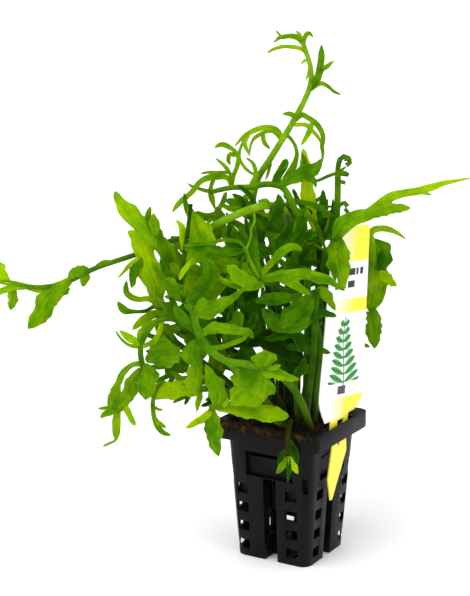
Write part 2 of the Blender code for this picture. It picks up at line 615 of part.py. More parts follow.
        blade((32, 35), (-69.6, 91.6, 3.4), (-68, 86, 7.4), (-68.8, 81, 8.4), (-69.8, 77, 6.4),
              (-70.4, 74, 1.2)),
        blade((31, 30), (-70.6, 91.6, 2.2), (-75.5, 91, 2.4), (-79.5, 87.5, 2.6), (-82.3, 82, 3.2),
              (-84.5, 76.5, 4.6), (-86.4, 71.5, 5), (-85.4, 67.6, 2.6)),
        blade((32, 30), (-70, 90, 3), (-74, 84.5, 5.6), (-77.5, 78.5, 6.2), (-80.6, 73, 6.6),
              (-83.4, 68.8, 5.6), (-85.6, 67, 2)),
        blade((30, 33), (-84, 69, 3), (-88, 67, 3), (-91.6, 64.6, 1)),
        blade((30, 27), (-86, 70, 2), (-89, 69.3, 1.5), (-92.3, 69.4, 0.5)),
        blade((30, 31), (-83, 69.4, 3.4), (-83.7, 62, 3.8), (-84.2, 57, 3.4), (-84.6, 53.8, 1.2),
              (-87, 52.2, 1), (-90.3, 50.3, 0.9)),
        blade((30, 33), (-79.6, 71, 3), (-77.5, 66, 2.9), (-75.7, 63, 2.4), (-74.3, 61.2, 0.6)),
    ],
    "low_left_frond": [
        stalk((1.5, 1.3, 1.3), (11.4, 25, 28, 28), (-16, 63), (-24, 74), (-34, 79), (-44, 79.4)),
        blade((28, 28, 27), (-42, 79, 4.4), (-48, 79.4, 6.6), (-54, 79.1, 7.2), (-60, 78.4, 7.4),
              (-65.6, 77.4, 6.4), (-69.6, 76.6, 1.6)),
        blade((28, 28, 31), (-60.4, 83.4, 1.4), (-64, 79.5, 1.8), (-66, 73.5, 2), (-66, 67.5, 2.2),
              (-64.5, 61.5, 2.4), (-61.5, 57.8, 2.4), (-57.8, 56.2, 0.8)),
        blade((28.4, 31), (-66.3, 70.6, 1.2), (-63.5, 69, 1.1), (-61.3, 68.8, 0.5)),
        blade((30, 28), (-65.6, 65, 1.6), (-63, 61.8, 2.2), (-60, 60.3, 0.7)),
        blade((28, 25), (-50, 81, 3), (-53.4, 84.6, 3.2), (-57.6, 87.8, 0.8)),
        blade((28, 31), (-43.6, 79.4, 2), (-44.2, 74, 2.9), (-45.6, 68.3, 0.8)),
    ],
    "front_low_frond": [
        stalk((1.5, 1.4, 1.3, 1.2), (21.4, 33, 37, 40, 40), (-2.4, 61), (-12, 66.4), (-24, 70), (-34, 70.5),
              (-39.4, 70)),
        blade(40, (-36.6, 70.4, 3), (-30, 70.3, 5.2), (-22, 69.3, 6.5), (-14, 68.3, 6.9), (-7, 67.4, 6.2),
              (-3.2, 67, 4.2), (-1.4, 66.8, 1.2)),
        blade((40, 37), (-38.2, 70.6, 4), (-37.9, 64, 6.6), (-37.2, 58, 7.5), (-36.3, 52, 5.5),
              (-35.3, 46.3, 0.8)),
        blade((40, 42), (-38, 68.6, 3), (-43, 64.6, 3.3), (-47, 62.2, 2.7), (-50.6, 60.2, 0.6)),
        blade((40, 41, 39), (-36.6, 70.4, 5), (-35.2, 74, 7.6), (-35.4, 78, 7.8), (-37, 83, 6.6),
              (-39.2, 87.4, 4), (-41.6, 91, 1)),
        blade((40, 42), (-33.6, 70.6, 1.8), (-31.2, 72.6, 1.9), (-30.4, 75.4, 0.7)),
    ],
    "front_arching_frond": [
        stalk((1.7, 1.6, 1.5, 1.4, 1.2), (20.6, 35, 43, 45, 45, 45, 44, 43, 41, 38), (10.2, 57.8), (2.6, 77),
              (-8, 88), (-20, 91.4), (-30, 92.8), (-36, 96), (-42, 102), (-45, 109), (-47, 117),
              (-51.6, 123.6)),
        stalk((1.2, 1.1, 0.7), (39, 38, 36, 35, 34, 33), (-49.6, 120.4), (-51.6, 123.6), (-52.6, 131),
              (-51.4, 140), (-49.2, 154), (-47.4, 168)),
        blade((45, 47), (-13.8, 89.6, 8), (-13.2, 93.5, 11.4), (-12.8, 96.6, 9.4), (-12.4, 98.9, 4)),
        blade((45, 47), (-15, 88.8, 5), (-9, 87.9, 5.2), (-4.5, 86.5, 4.2), (-0.5, 84.9, 2.6),
              (3.3, 84.3, 0.6)),
        blade((45, 48), (-11.4, 89.6, 2.2), (-8, 90.4, 2.2), (-5.2, 91.8, 0.5)),
        blade((45, 44), (-18, 92.6, 8), (-18.6, 88, 17.5), (-19.6, 83, 19), (-21.6, 78.4, 15.6),
              (-24.8, 74.8, 10), (-28.8, 71.4, 2.4)),
        blade((35, 31, 30), (-51.3, 139.6, 2.4), (-46.4, 144.4, 9), (-43.4, 150, 13), (-44.4, 155, 10.8),
              (-45.6, 159.4, 7.2), (-46.7, 163.2, 3.8), (-47.8, 166.4, 0.8)),
        blade((34, 31, 30), (-50.6, 146, 2), (-51.6, 152, 3), (-51.6, 157.4, 2.8), (-54.4, 160.4, 0.8)),
        blade((39, 36), (-51.2, 122.6, 2), (-54, 126.4, 6), (-57.4, 129.8, 6.4), (-61, 131.6, 1.6)),
        blade((40, 38), (-50, 121.4, 3), (-43.6, 125.4, 7), (-40, 131.4, 7.8), (-39.2, 138, 6),
              (-41, 143, 1.2)),
        blade((41.6, 41), (-46.4, 115.6, 5), (-42.6, 117.4, 10.5), (-37.6, 119.2, 7.2), (-32, 122, 4.2),
              (-26.6, 124.8, 2.4), (-21, 128.3, 0.7)),
    ],
    "right_frond": [
        stalk((1.7, 1.6, 1.4, 1.2), (15.4, 17, 18, 21, 24), (7.4, 60), (10.6, 85), (12, 118), (15, 142),
              (19.6, 152)),
        blade((24, 25, 26), (19.4, 151.4, 3), (22.5, 158, 8), (28, 161.5, 6.5), (34, 163.8, 5.5),
              (39, 167.5, 5), (44, 171.3, 4), (50, 173.2, 3), (56, 174.7, 3), (62, 176.5, 2.8),
              (68, 178.5, 2.2), (74, 180, 1.3), (81, 181.3, 0.5)),
        blade((25, 28), (33, 162.6, 3), (40, 165.6, 5), (45, 166.8, 4.8), (49.5, 167, 3.5),
              (53.6, 166.6, 0.6)),
        blade((26, 27), (54.6, 174.6, 1.6), (59, 174, 1.4), (63.2, 172.8, 0.5)),
        blade((24, 26), (20.2, 154, 4), (20.5, 149, 8), (20.9, 144, 10), (21.5, 139, 8.5), (22.8, 134, 5),
              (24.3, 128.4, 0.7)),
        blade((25, 27), (18.4, 141, 3), (19.2, 136.5, 3), (20, 132.4, 0.7)),
    ],
    "fiddlehead": [
        stalk((1.5, 1.3, 1.2), (2, 3, 4, 5, 5), (11, 63.6), (14, 100), (17, 140), (19.8, 160), (20.2, 175),
              (20.1, 183)),
        stalk((1.2, 1.1, 1), 5, (20.2, 180), (20.1, 184), (20.8, 188.5), (22.5, 190.3), (24.5, 190),
              (25.6, 188.3), (25, 186.6), (23.9, 186.2)),
        stalk((1.2, 1.6), (5, 5.6), (24.4, 190), (24.7, 188.6)),
        stalk((1, 1.3, 0.7), (5, 5.4), (20.2, 182.5), (22.8, 182.6), (25.2, 181.8)),
        stalk((0.9, 0.8), 5, (20.3, 179), (23.7, 178.2)),
        stalk((1, 1), (4.6, 5), (20, 166.6), (22.4, 169), (24, 168.6), (24.8, 167.2)),
        stalk((0.9, 0.8), (4.4, 5), (19.6, 162), (22, 161.4), (24.6, 163), (25, 165), (23.6, 166.2)),
    ],
    "back_right_frond": [
        stalk((1.6, 1.4, 1.3), (-9, -8, -7, -6, -5), (6, 68.5), (15, 88), (25, 108), (32, 124), (36.6, 140),
              (36, 153)),
        blade((-5, -7, -6), (36.2, 151, 3), (36.6, 145, 9), (37.2, 138, 12.6), (37.8, 131, 12.6),
              (37.6, 124, 9.5), (37.4, 117, 4.6)),
        blade((-6, -3), (40, 137, 5), (44, 133.6, 4.4), (48.2, 130.2, 0.8)),
        blade((-6, -9), (37.4, 120, 3), (37.8, 114, 6.8), (38, 108, 7.8), (38.2, 103.5, 4.4),
              (38.2, 100.3, 1)),
        blade((-5, -2), (35.6, 152, 2), (36.6, 156.2, 3), (41, 157.4, 2.8), (46, 156, 2), (52, 152.8, 0.5)),
        blade((-6, -6), (35.4, 152, 3), (38.5, 149, 9), (41, 143, 9), (42, 136, 5)),
    ],
    "middle_right_frond": [
        stalk((1.6, 1.4, 1.2), (15.5, 22.4, 23, 24, 30, 36), (11, 59.6), (11.2, 78), (12.6, 104), (5, 122),
              (-7, 129), (-15.8, 133.6)),
        blade((36, 37, 36), (-15, 132.6, 2.4), (-5, 134.5, 5), (3, 135.5, 4.6), (10, 134.5, 4),
              (16, 133, 3.5), (20, 130.5, 2.2), (24.2, 128.2, 0.5)),
        blade((36, 39), (-7, 133.4, 3), (0, 131, 4), (4, 128.5, 3.5), (8, 126, 0.8)),
        blade((37, 40), (8, 134.4, 3), (12, 132.3, 2.8), (14.6, 131, 0.7)),
        blade((36, 33), (-16, 133.4, 1.6), (-10, 141, 3), (-5, 146, 3.6), (0, 148.4, 3), (4.2, 147.2, 0.6)),
        blade((36, 38), (-13.6, 129.8, 3), (-19.6, 131.4, 6), (-25.6, 134.4, 6.4), (-31, 139, 1.6)),
        blade((36, 33), (-15.6, 133.4, 2.4), (-18.6, 140, 6), (-19.4, 147, 5.6), (-17.6, 153, 1.2)),
    ],
    "middle_low_frond": [
        stalk((1.6, 1.4, 1.2), (20.4, 25, 28, 30), (6.4, 58.6), (8, 78), (10, 100), (11, 128)),
        blade((29.6, 32), (11, 128, 3), (7.6, 122.4, 8.4), (2.8, 117, 10), (-2.4, 112, 8),
              (-6.4, 108.4, 1.6)),
        blade((29.6, 31), (10.8, 128.6, 2.6), (14.2, 127, 4.8), (17.4, 123.2, 3.4), (19.8, 118.4, 0.6)),
        blade((29, 30), (10.4, 115.4, 2), (14, 117, 3.6), (17.6, 116.2, 2.4), (20.4, 115.2, 0.6)),
        blade((29, 33), (10.4, 116.4, 2.4), (4, 112.4, 7), (-3, 111.6, 8), (-9.4, 114, 6.4),
              (-15, 118.4, 1.4)),
        blade((28, 30), (9.6, 96.6, 2), (5.4, 101, 4.6), (2, 106.4, 4.4), (0, 111, 1.2)),
    ],
    "shaded_middle_frond": [
        stalk((1.5, 1.3, 1.2), (8, 18, 22, 23), (-2, 64), (-9, 80), (-17, 94), (-22, 103)),
        blade((23, 24, 25), (-22, 101.6, 4), (-14, 104.6, 9.5), (-4, 101, 11), (2, 96.8, 7),
              (5.8, 92.8, 2)),
        blade((23, 25), (-21, 101, 3), (-27, 104, 7), (-32, 109.4, 7), (-35.4, 115, 1.6)),
        blade((23, 21), (-21.6, 102.4, 3), (-22.4, 109, 7.4), (-20.4, 116, 8), (-17, 122, 1.6)),
        blade((20, 23), (-14.6, 89.4, 2.4), (-20, 90.6, 6), (-25.4, 94.6, 6), (-30.4, 99, 1.4)),
        blade((20, 22), (-12.6, 87, 2.4), (-7.4, 91, 5), (-2.4, 93.6, 4), (1.4, 93.4, 1)),
    ],
    "short_stem_frond": [
        stalk((1.2, 1), (18.5, 24, 26), (3.4, 59), (2, 74), (1.4, 88)),
        blade((26, 23), (1, 87, 1), (4, 89.2, 4.4), (7, 90.3, 3.4), (9, 90, 0.6)),
        blade((25.8, 28), (1.6, 84.6, 2), (4.4, 90, 4), (6, 95.6, 1)),
    ],
    "hanging_leaf": [
        stalk((1.3, 1.2, 1), (12.8, 32, 38, 37), (-2.8, 62.6), (-16, 78), (-30, 92), (-40, 97.6),
              (-45, 94)),
        blade((37, 36), (-45, 95, 2.6), (-45.8, 88, 6.8), (-46.9, 81.6, 6.6), (-47.8, 77, 1.2)),
    ],
    "low_middle_frond": [
        stalk((1.4, 1.3, 1.2), (8, 16, 20.5, 20.5, 20.5), (-13.4, 64.4), (-22, 75), (-34, 86), (-46, 95),
              (-56, 103)),
        blade((20.5, 22), (-54, 101.6, 3), (-58.4, 104.6, 6), (-62, 109, 5), (-64, 114.4, 1.2)),
        blade((20.5, 19), (-46, 95, 3), (-51.4, 93.4, 8), (-56.6, 89.6, 7), (-60, 84.6, 1.4)),
        blade((20.5, 22), (-44, 93.6, 3), (-45.4, 100, 7.6), (-48.4, 105.6, 7), (-53, 109.6, 1.4)),
        blade((20.5, 19), (-36, 87.8, 3), (-42, 86.4, 8), (-47.6, 83, 7), (-52.4, 78.4, 1.4)),
        blade((20.5, 22), (-34, 86, 3), (-34.4, 93.6, 8), (-36.6, 100.6, 7.6), (-40.6, 106.4, 1.4)),
        blade((17.4, 18), (-24.6, 77.2, 3), (-29.6, 78.4, 7), (-35.4, 77.4, 7), (-40.4, 74.4, 1.4)),
    ],
    "middle_left_frond": [
        stalk((1.5, 1.4, 1.2), (14, 22, 25, 26), (-11, 62), (-24, 84), (-36, 102), (-44, 116)),
        blade((26, 27, 25), (-43, 114.6, 3), (-47, 122, 9), (-50.4, 129, 10), (-54, 135, 7),
              (-57.6, 140, 1.6)),
        blade((25, 28), (-42.4, 112.6, 3), (-49.4, 113.6, 7), (-55.6, 117, 6.4), (-60.4, 121.6, 1.4)),
        blade((26, 24), (-43.6, 115.4, 2.6), (-39.6, 122.4, 7), (-37.4, 130, 8), (-37.2, 137, 5.4),
              (-38.4, 143, 1.2)),
        blade((24, 26), (-34, 98.6, 2.6), (-40, 101.4, 6), (-45.4, 104.6, 6), (-50.6, 105.6, 1.4)),
        blade((24, 32), (-34.4, 98.6, 2.2), (-29, 104.6, 6.4), (-26.4, 111.4, 6.6), (-26.4, 118, 1.4)),
    ],
    "upper_left_frond": [
        stalk((1.5, 1.4, 1.2), (4, 8, 10, 12, 12), (-10, 65), (-20, 92), (-30, 118), (-37, 138),
              (-41, 150)),
        blade((12, 13, 11), (-40.4, 148, 3), (-43.6, 154.6, 7), (-46, 161, 7.4), (-48.4, 167.4, 5),
              (-50.4, 173, 1.2)),
        blade((12, 14), (-40, 147, 2.6), (-36.6, 153.4, 6.4), (-34.6, 160, 6.4), (-35.4, 167, 1.4)),
        blade((12, 9, 4), (-38.6, 142.6, 2.6), (-45.4, 145, 6), (-51.4, 148.6, 6), (-56.6, 153, 1.4)),
        blade((11, 13), (-35.6, 135, 2.6), (-30, 139, 7), (-26.4, 145, 7.4), (-25, 152, 1.6)),
        blade((10, 12), (-34, 130, 2.6), (-41, 131, 6.4), (-48, 134.6, 6.4), (-54, 139.6, 1.4)),
        blade((10, 8), (-30.6, 119.6, 2.6), (-24.4, 123, 7), (-19.6, 128.6, 7.4), (-17.4, 135, 1.6)),
    ],
    "upper_middle_frond": [
        stalk((1.6, 1.4, 1.2), (2, 11, 16, 17, 17), (-1, 64.6), (-4, 96), (-7, 124), (-9, 146), (-12, 158)),
        blade((17, 16, 14), (-11.8, 156, 3), (-15.4, 161.6, 7), (-20.6, 165.6, 7), (-26.6, 168.4, 4.6),
              (-31.6, 169.6, 1.2)),
        blade((17, 21, 21), (-11.4, 155, 2.6), (-9, 161, 4.6), (-6.6, 167.6, 4.6), (-7, 173, 1.2)),
        blade((17, 19), (-9.8, 149, 2.6), (-3.4, 151.6, 7), (2.4, 156, 6.4), (6.4, 162, 1.4)),
        blade((17, 19), (-9.4, 146, 2.6), (-16.4, 146.6, 7), (-23.4, 149.6, 7.4), (-29.6, 154.6, 1.6)),
        blade((16, 14), (-8, 136, 2.6), (-1.4, 138.4, 7), (4.6, 142, 6.4), (9.6, 147.6, 1.4)),
        blade((16, 18), (-7.6, 132, 2.6), (-14.4, 134, 7.4), (-20.6, 138.4, 7), (-25.4, 144.4, 1.4)),
    ],
    "upper_right_frond": [
        stalk((1.5, 1.3, 1.1), (6, 8, 8, 7), (5.6, 63), (9, 100), (12, 132), (12, 154)),
        blade((7, 8), (12, 152, 2.4), (13, 160, 4.4), (13.6, 168, 4), (13.2, 175, 1)),
        blade((7, 6, 5), (11.6, 153, 2.4), (9.6, 159, 4.4), (8, 166, 5.6), (6.6, 173, 5.8), (5.7, 181.7, 5.2),
              (4.8, 189, 4.4), (4.4, 194, 1.6)),
        blade((7, 5), (12, 148, 2), (6.8, 150.6, 3.6), (3.4, 155.6, 3), (2, 161, 0.8)),
        blade((7, 10), (12.4, 150, 2), (17, 156.4, 3), (18.4, 164.4, 2.6), (17.8, 171, 0.7)),
        blade((8, 5), (12, 132, 2.6), (5.4, 131, 7), (-0.6, 126.6, 7), (-4.4, 120.6, 1.6)),
    ],
    "rim_sprig": [
        stalk((1.2, 1.1, 1.1), (15, 27, 34, 35.5), (-0.2, 61.6), (-0.4, 64), (-1.8, 57), (-1.3, 45)),
        blade((35, 36), (-1.3, 54.6, 1.6), (1, 49.4, 3.6), (3.2, 42.8, 0.7)),
        blade((35, 36), (-1.3, 50, 1.4), (-4.2, 47.6, 2.4), (-6.8, 42.4, 0.7)),
        blade((36, 36.5), (-1.3, 46.4, 2), (-4.4, 41.4, 3.4), (-7.4, 38, 0.8)),
        blade((36, 36.5), (-1.3, 46.4, 2), (1, 41.4, 3.2), (3.4, 38, 0.8)),
        blade((36, 37), (-1.3, 45.6, 2), (-1.2, 39, 2.2), (-1.5, 33.4, 0.7)),
    ],
}

# The fronds at the back and the far side: where the stalk starts, then where the leaf's tip is, each
# as across, up and near, with the leaf's length
REAR_FRONDS = {
    "rear_frond_1": ((-8.0, 70.6, -14.0), (-36.0, 146.0, -46.0), 44.0),
    "rear_frond_2": ((-3.0, 71.2, -17.0), (-22.0, 156.0, -62.0), 46.0),
    "rear_frond_3": ((2.5, 70.6, -15.0), (4.0, 164.0, -48.0), 40.0),
    "rear_frond_4": ((6.5, 70.8, -14.0), (8.0, 142.0, -76.0), 42.0),
    "rear_frond_5": ((-12.0, 68.6, -7.0), (-48.0, 120.0, -26.0), 38.0),
    "rear_frond_6": ((-5.5, 71.6, -19.5), (-18.0, 118.0, -74.0), 40.0),
    "rear_frond_7": ((11.0, 69.6, -9.0), (26.0, 116.0, -38.0), 36.0),
}

LEAF_COLOURS = {
    "long_left_frond": "lit_green", "broad_left_frond": "lit_green", "drooping_left_frond": "lit_green",
    "front_low_frond": "lit_green", "front_arching_frond": "lit_green", "low_left_frond": "lit_green",
    "hanging_leaf": "lit_green", "shaded_middle_frond": "deep_green", "upper_right_frond": "deep_green",
}


def rear_frond(start, tip, reach):
    """A frond that arches away from the viewer, with paired lobes that shorten towards its tip."""
    start, tip = Vector(start), Vector(tip)
    knee = Vector((start.x * 0.7 + tip.x * 0.3, tip.y + 5.0, start.z * 0.45 + tip.z * 0.55))

    def spine(t):
        return start * (1 - t) ** 2 + knee * 2 * t * (1 - t) + tip * t**2

    spots = [spine(k / 5) for k in range(6)]
    parts = [stalk((1.6, 0.9), tuple(spot.z for spot in spots), *[(spot.x, spot.y) for spot in spots])]
    for k, share in enumerate((0.6, 0.8)):
        foot = spine(share)
        ahead = (spine(share + 0.1) - foot).normalized()
        for side in (-1, 1):
            aside = Vector((ahead.y * side, -ahead.x * side, 0.25 * side))
            length = reach * (0.46 - 0.1 * k)
            middle = foot + (ahead * 0.5 + aside) * length * 0.5
            end = foot + (ahead * 0.9 + aside * 0.9) * length
            points = ((foot.x, foot.y, 2.4), (middle.x, middle.y, length * 0.42), (end.x, end.y, 1.4))
            parts.append(blade((foot.z, middle.z, end.z), *points))
    foot, end = spine(0.9), tip + (tip - spine(0.9)).normalized() * reach * 0.16
    parts.append(blade((foot.z, tip.z, end.z), (foot.x, foot.y, 2), (tip.x, tip.y, 5.6), (end.x, end.y, 1.2)))
    return parts


clear_scene()
make_pot()
make_roots()
make_tag()
leaf_finishes = {
    "lit_green": finish("lit_green_leaf", "#7db319", 0.42),
    "green": finish("green_leaf", "#4c8c12", 0.45),
    "deep_green": finish("deep_green_leaf", "#2d5f12", 0.5),
}
for frond_name, frond_parts in FRONDS.items():
    make_frond(frond_name, frond_parts, leaf_finishes[LEAF_COLOURS.get(frond_name, "green")])
for frond_name, reach in REAR_FRONDS.items():
    make_frond(frond_name, rear_frond(*reach), leaf_finishes["deep_green"])
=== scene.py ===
# %% [markdown]
# # Water sprite in a net pot
#
# A water sprite is an aquarium fern. Its fronds rise from a small crown, arch over and split into
# narrow, wavy lobes. This one is rooted in a black square net pot, with a card tag hung over the rim.
#
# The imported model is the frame: every piece here stands for one of its solids and rides on its body.
# Sizes are written in millimetres and become metres when each mesh is made.

import math
import random

import bmesh
import bpy
from mathutils import Matrix, Vector, noise


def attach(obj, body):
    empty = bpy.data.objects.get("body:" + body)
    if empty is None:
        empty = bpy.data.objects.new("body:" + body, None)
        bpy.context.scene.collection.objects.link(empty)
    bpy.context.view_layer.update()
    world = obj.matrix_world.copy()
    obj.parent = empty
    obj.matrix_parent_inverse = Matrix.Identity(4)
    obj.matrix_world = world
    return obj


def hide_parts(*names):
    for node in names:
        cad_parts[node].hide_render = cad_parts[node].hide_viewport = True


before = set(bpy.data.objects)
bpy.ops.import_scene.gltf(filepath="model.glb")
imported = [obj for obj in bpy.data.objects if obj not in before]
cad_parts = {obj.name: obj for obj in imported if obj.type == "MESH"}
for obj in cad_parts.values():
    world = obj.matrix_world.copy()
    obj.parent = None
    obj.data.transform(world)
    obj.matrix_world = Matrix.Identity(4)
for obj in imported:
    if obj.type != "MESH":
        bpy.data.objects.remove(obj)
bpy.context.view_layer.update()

MM = 0.001
print("frame loaded:", len(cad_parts), "solids")

# %% [markdown]
# ## Camera
#
# The eye is 685 mm from the pot's axis and 275 mm above the floor, and looks at the corner between the
# pot's two near sides. The plant is laid out on an upright plane through the axis that faces the eye.
# The lens is long, so the pot's upright edges stay nearly parallel.

# %% Viewpoint
PLANE_TURN = math.radians(28.5)
EYE_DISTANCE = 685.0
EYE_HEIGHT = 275.0
LOOK_LEFT = math.radians(2.26)
LOOK_DOWN = math.radians(12.45)
SENSOR = 36.0
PICTURE_HEIGHT = 596
LENS_IN_PIXELS = 1500
LENS = LENS_IN_PIXELS * SENSOR / PICTURE_HEIGHT
TOWARD = Vector((math.sin(PLANE_TURN), -math.cos(PLANE_TURN), 0.0))
ACROSS = Vector((math.cos(PLANE_TURN), math.sin(PLANE_TURN), 0.0))
UP = Vector((0.0, 0.0, 1.0))
EYE = TOWARD * EYE_DISTANCE + UP * EYE_HEIGHT


def add_camera():
    ahead = -TOWARD * math.cos(LOOK_LEFT) - ACROSS * math.sin(LOOK_LEFT)
    right = ahead.cross(UP).normalized()
    sight = ahead * math.cos(LOOK_DOWN) - UP * math.sin(LOOK_DOWN)
    turned = Matrix((right, right.cross(sight), -sight)).transposed().to_4x4()
    camera = bpy.data.objects.new("camera", bpy.data.cameras.new("camera"))
    camera.data.sensor_fit = "VERTICAL"
    camera.data.sensor_height = SENSOR
    camera.data.lens = LENS
    camera.data.clip_start = 20 * MM
    camera.matrix_world = Matrix.Translation(EYE * MM) @ turned
    bpy.context.scene.collection.objects.link(camera)
    bpy.context.scene.camera = camera
    return camera


camera = add_camera()
print("camera at", [round(value, 3) for value in camera.location])

# %% [markdown]
# ## Shader nodes
#
# A finish is a chain of small nodes. One helper adds any of them: what it is given in order goes to the
# node's sockets from the top, names with a capital are sockets, names in small letters are the node's own
# settings, and a colour is written by its hexadecimal name.

# %% Helpers for materials


def srgb(value):
    """A colour from its hexadecimal sRGB name, as the linear numbers that a shader takes."""
    parts = [int(value[i : i + 2], 16) / 255 for i in (1, 3, 5)]
    linear = [c / 12.92 if c <= 0.04045 else ((c + 0.055) / 1.055) ** 2.4 for c in parts]
    return (*linear, 1.0)


def fill(tree, node, *inputs, **named):
    """Fills a node's sockets, from the top or by name, with plain values, colours or links."""
    pairs = list(zip([socket for socket in node.inputs if socket.enabled], inputs))
    pairs += [(node.inputs[key.replace("_", " ")], value) for key, value in named.items()]
    for socket, value in pairs:
        if isinstance(value, bpy.types.Node):
            value = next(output for output in value.outputs if output.enabled)
        if isinstance(value, bpy.types.NodeSocket):
            tree.links.new(value, socket)
        else:
            socket.default_value = srgb(value) if isinstance(value, str) else value
    return node


def add(tree, kind, *inputs, stops=(), **named):
    """Adds a shader node with its settings, its socket values and its links."""
    made = tree.nodes.new("ShaderNode" + kind)
    for key in [key for key in named if key[0].islower()]:
        setattr(made, key, named.pop(key))
    elements = made.color_ramp.elements if stops else ()
    while len(elements) < len(stops):
        elements.new(0.5)
    for element, (position, value) in zip(elements, stops):
        element.position = position
        element.color = srgb(value) if isinstance(value, str) else (value, value, value, 1.0)
    return fill(tree, made, *inputs, **named)


def new_material(name, **values):
    """A material with one Principled shader, its plain values set on its sockets."""
    material = bpy.data.materials.new(name)
    material.use_nodes = True
    tree = material.node_tree
    return material, tree, fill(tree, tree.nodes["Principled BSDF"], **values)


print("material helpers ready")

# %% Helpers for pieces


def placed(name, bm, material):
    """The bmesh, in metres, as an object."""
    mesh = bpy.data.meshes.new(name)
    bm.to_mesh(mesh)
    bm.free()
    mesh.materials.append(material)
    made = bpy.data.objects.new(name, mesh)
    bpy.context.scene.collection.objects.link(made)
    return made


def drawn(name, bm, material):
    """The bmesh, drawn in millimetres, as a smooth object in metres."""
    bmesh.ops.recalc_face_normals(bm, faces=bm.faces)
    bmesh.ops.scale(bm, vec=Vector((MM, MM, MM)), verts=bm.verts)
    made = placed(name, bm, material)
    made.data.shade_smooth()
    return made


def stands_for(piece, solid):
    """The piece takes a solid's place and moves with the one body."""
    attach(piece, "root")
    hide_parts(solid)
    return piece


print("piece helpers ready")

# %% [markdown]
# ## Floor and light
#
# The object stands on plain white. A wide sun is a softbox that lights the whole floor alike, so the
# floor keeps one tone to the horizon; the backdrop is seen as white but gives little light of its own.

# %% Floor and light
FLOOR_HALF = 6000 * MM
FLOOR_GAP = 0.2 * MM


def add_floor():
    """A plain sheet, just under the pot's feet."""
    bm = bmesh.new()
    bmesh.ops.create_grid(bm, x_segments=1, y_segments=1, size=FLOOR_HALF)
    material, _, _ = new_material("studio_floor", Base_Color="#ffffff", Roughness=0.9)
    floor = placed("floor", bm, material)
    floor.location.z = -FLOOR_GAP
    return floor


def sun(name, across, toward, height, strength, spread):
    """A broad, even light, like a studio's softbox, from so far across, towards the eye and up."""
    light = bpy.data.objects.new(name, bpy.data.lights.new(name, "SUN"))
    light.data.energy = strength
    light.data.angle = math.radians(spread)
    aim = -(ACROSS * across + TOWARD * toward + UP * height)
    light.rotation_euler = aim.to_track_quat("-Z", "Y").to_euler()
    bpy.context.scene.collection.objects.link(light)
    return light


def add_world(seen, given):
    """A white backdrop to look at, which gives the object a softer, weaker light."""
    world = bpy.data.worlds.new("studio")
    world.use_nodes = True
    tree = world.node_tree
    straight = add(tree, "LightPath").outputs["Is Camera Ray"]
    strength = add(tree, "MapRange", straight, To_Min=given, To_Max=seen)
    fill(tree, tree.nodes["Background"], Color="#ffffff", Strength=strength)
    bpy.context.scene.world = world


floor = add_floor()
sun("key_light", -0.6, 0.55, 1.0, strength=1.7, spread=55.0)
sun("top_light", 0.1, -0.1, 1.0, strength=1.6, spread=120.0)
sun("right_fill", 0.8, 0.7, 0.45, strength=0.85, spread=60.0)
add_world(seen=1.05, given=0.3)
bpy.context.scene.view_settings.view_transform = "Standard"
print("studio ready")

# %% [markdown]
# ## Leaf and stalk material
#
# Fern leaf is a thin, waxy sheet that light passes through: index of refraction about 1.42, a satin skin
# with roughness near 0.4, and green light scattered a millimetre or two inside it. Each point of a frond
# carries where it lies on its lobe, in millimetres and as shares, how sunlit the lobe is, and whether it
# is stalk. The colours, streaks, veins and spots are worked out from that, so that they follow the lobe;
# how sunlit a lobe is goes into its green as painted light and shade.

# %% Tone of a leaf
SCATTER = 1.2
BLOTCH = 7.0
BLOTCH_SHARE = 0.62
STREAK = 1.6
STREAK_STRETCH = 9.0
STREAK_SHARE = 0.34
GRAIN = 0.7
# The thick of the bush, where lobes shade one another and are painted darker as painted shade: its middle
# and how far it reaches
THICK_MIDDLE = ACROSS * -8.0 + UP * 108.0
THICK_WIDE = 44.0
THICK_TALL = 60.0


def leaf_tone(tree, spot, blotch, streak, sunlit):
    """How light a point is: its painted share of sun, with broad patches and with streaks along the lobe."""
    tone = add(tree, "Math", blotch, BLOTCH_SHARE, sunlit, operation="MULTIPLY_ADD")
    tone = add(tree, "Math", streak, STREAK_SHARE, tone, operation="MULTIPLY_ADD")
    tone = add(tree, "Math", tone, (BLOTCH_SHARE + STREAK_SHARE) / 2, operation="SUBTRACT")
    # Painted shade: lobes inside the bush get less light, so their green is painted darker here.
    inward = add(tree, "VectorMath", spot, THICK_MIDDLE * MM, operation="SUBTRACT")
    reach = Vector((1 / THICK_WIDE, 1 / THICK_WIDE, 1 / THICK_TALL)) / MM
    inward = add(tree, "VectorMath", inward, reach, operation="MULTIPLY")
    inward = add(tree, "VectorMath", inward, operation="LENGTH").outputs["Value"]
    shade = add(tree, "MapRange", inward, 0.25, 1.1, 0.25, 0.0)
    return add(tree, "Math", tone, shade, operation="SUBTRACT")


print("a patch of tone is about", BLOTCH, "mm wide")

# %% Veins, spots and tips
VEIN_GAP = 1.7
VEIN_SLANT = -1.3
SPOT = 2.4


def leaf_veins(tree, aside, place_mm):
    """The midrib, which is a fine line, and the side veins that slant off it, as masks."""
    rib = add(tree, "ValToRGB", aside, stops=((0.0, 1.0), (0.1, 0.0)))
    sideways, lengthways, _ = add(tree, "SeparateXYZ", place_mm).outputs
    sideways = add(tree, "Math", sideways, operation="ABSOLUTE")
    slant = add(tree, "Math", sideways, VEIN_SLANT, lengthways, operation="MULTIPLY_ADD")
    cycle = add(tree, "Math", slant, VEIN_GAP, operation="DIVIDE")
    cycle = add(tree, "Math", cycle, operation="FRACT")
    side_veins = add(tree, "ValToRGB", cycle, stops=((0.0, 1.0), (0.14, 0.0), (0.86, 0.0), (1.0, 1.0)))
    return rib, side_veins


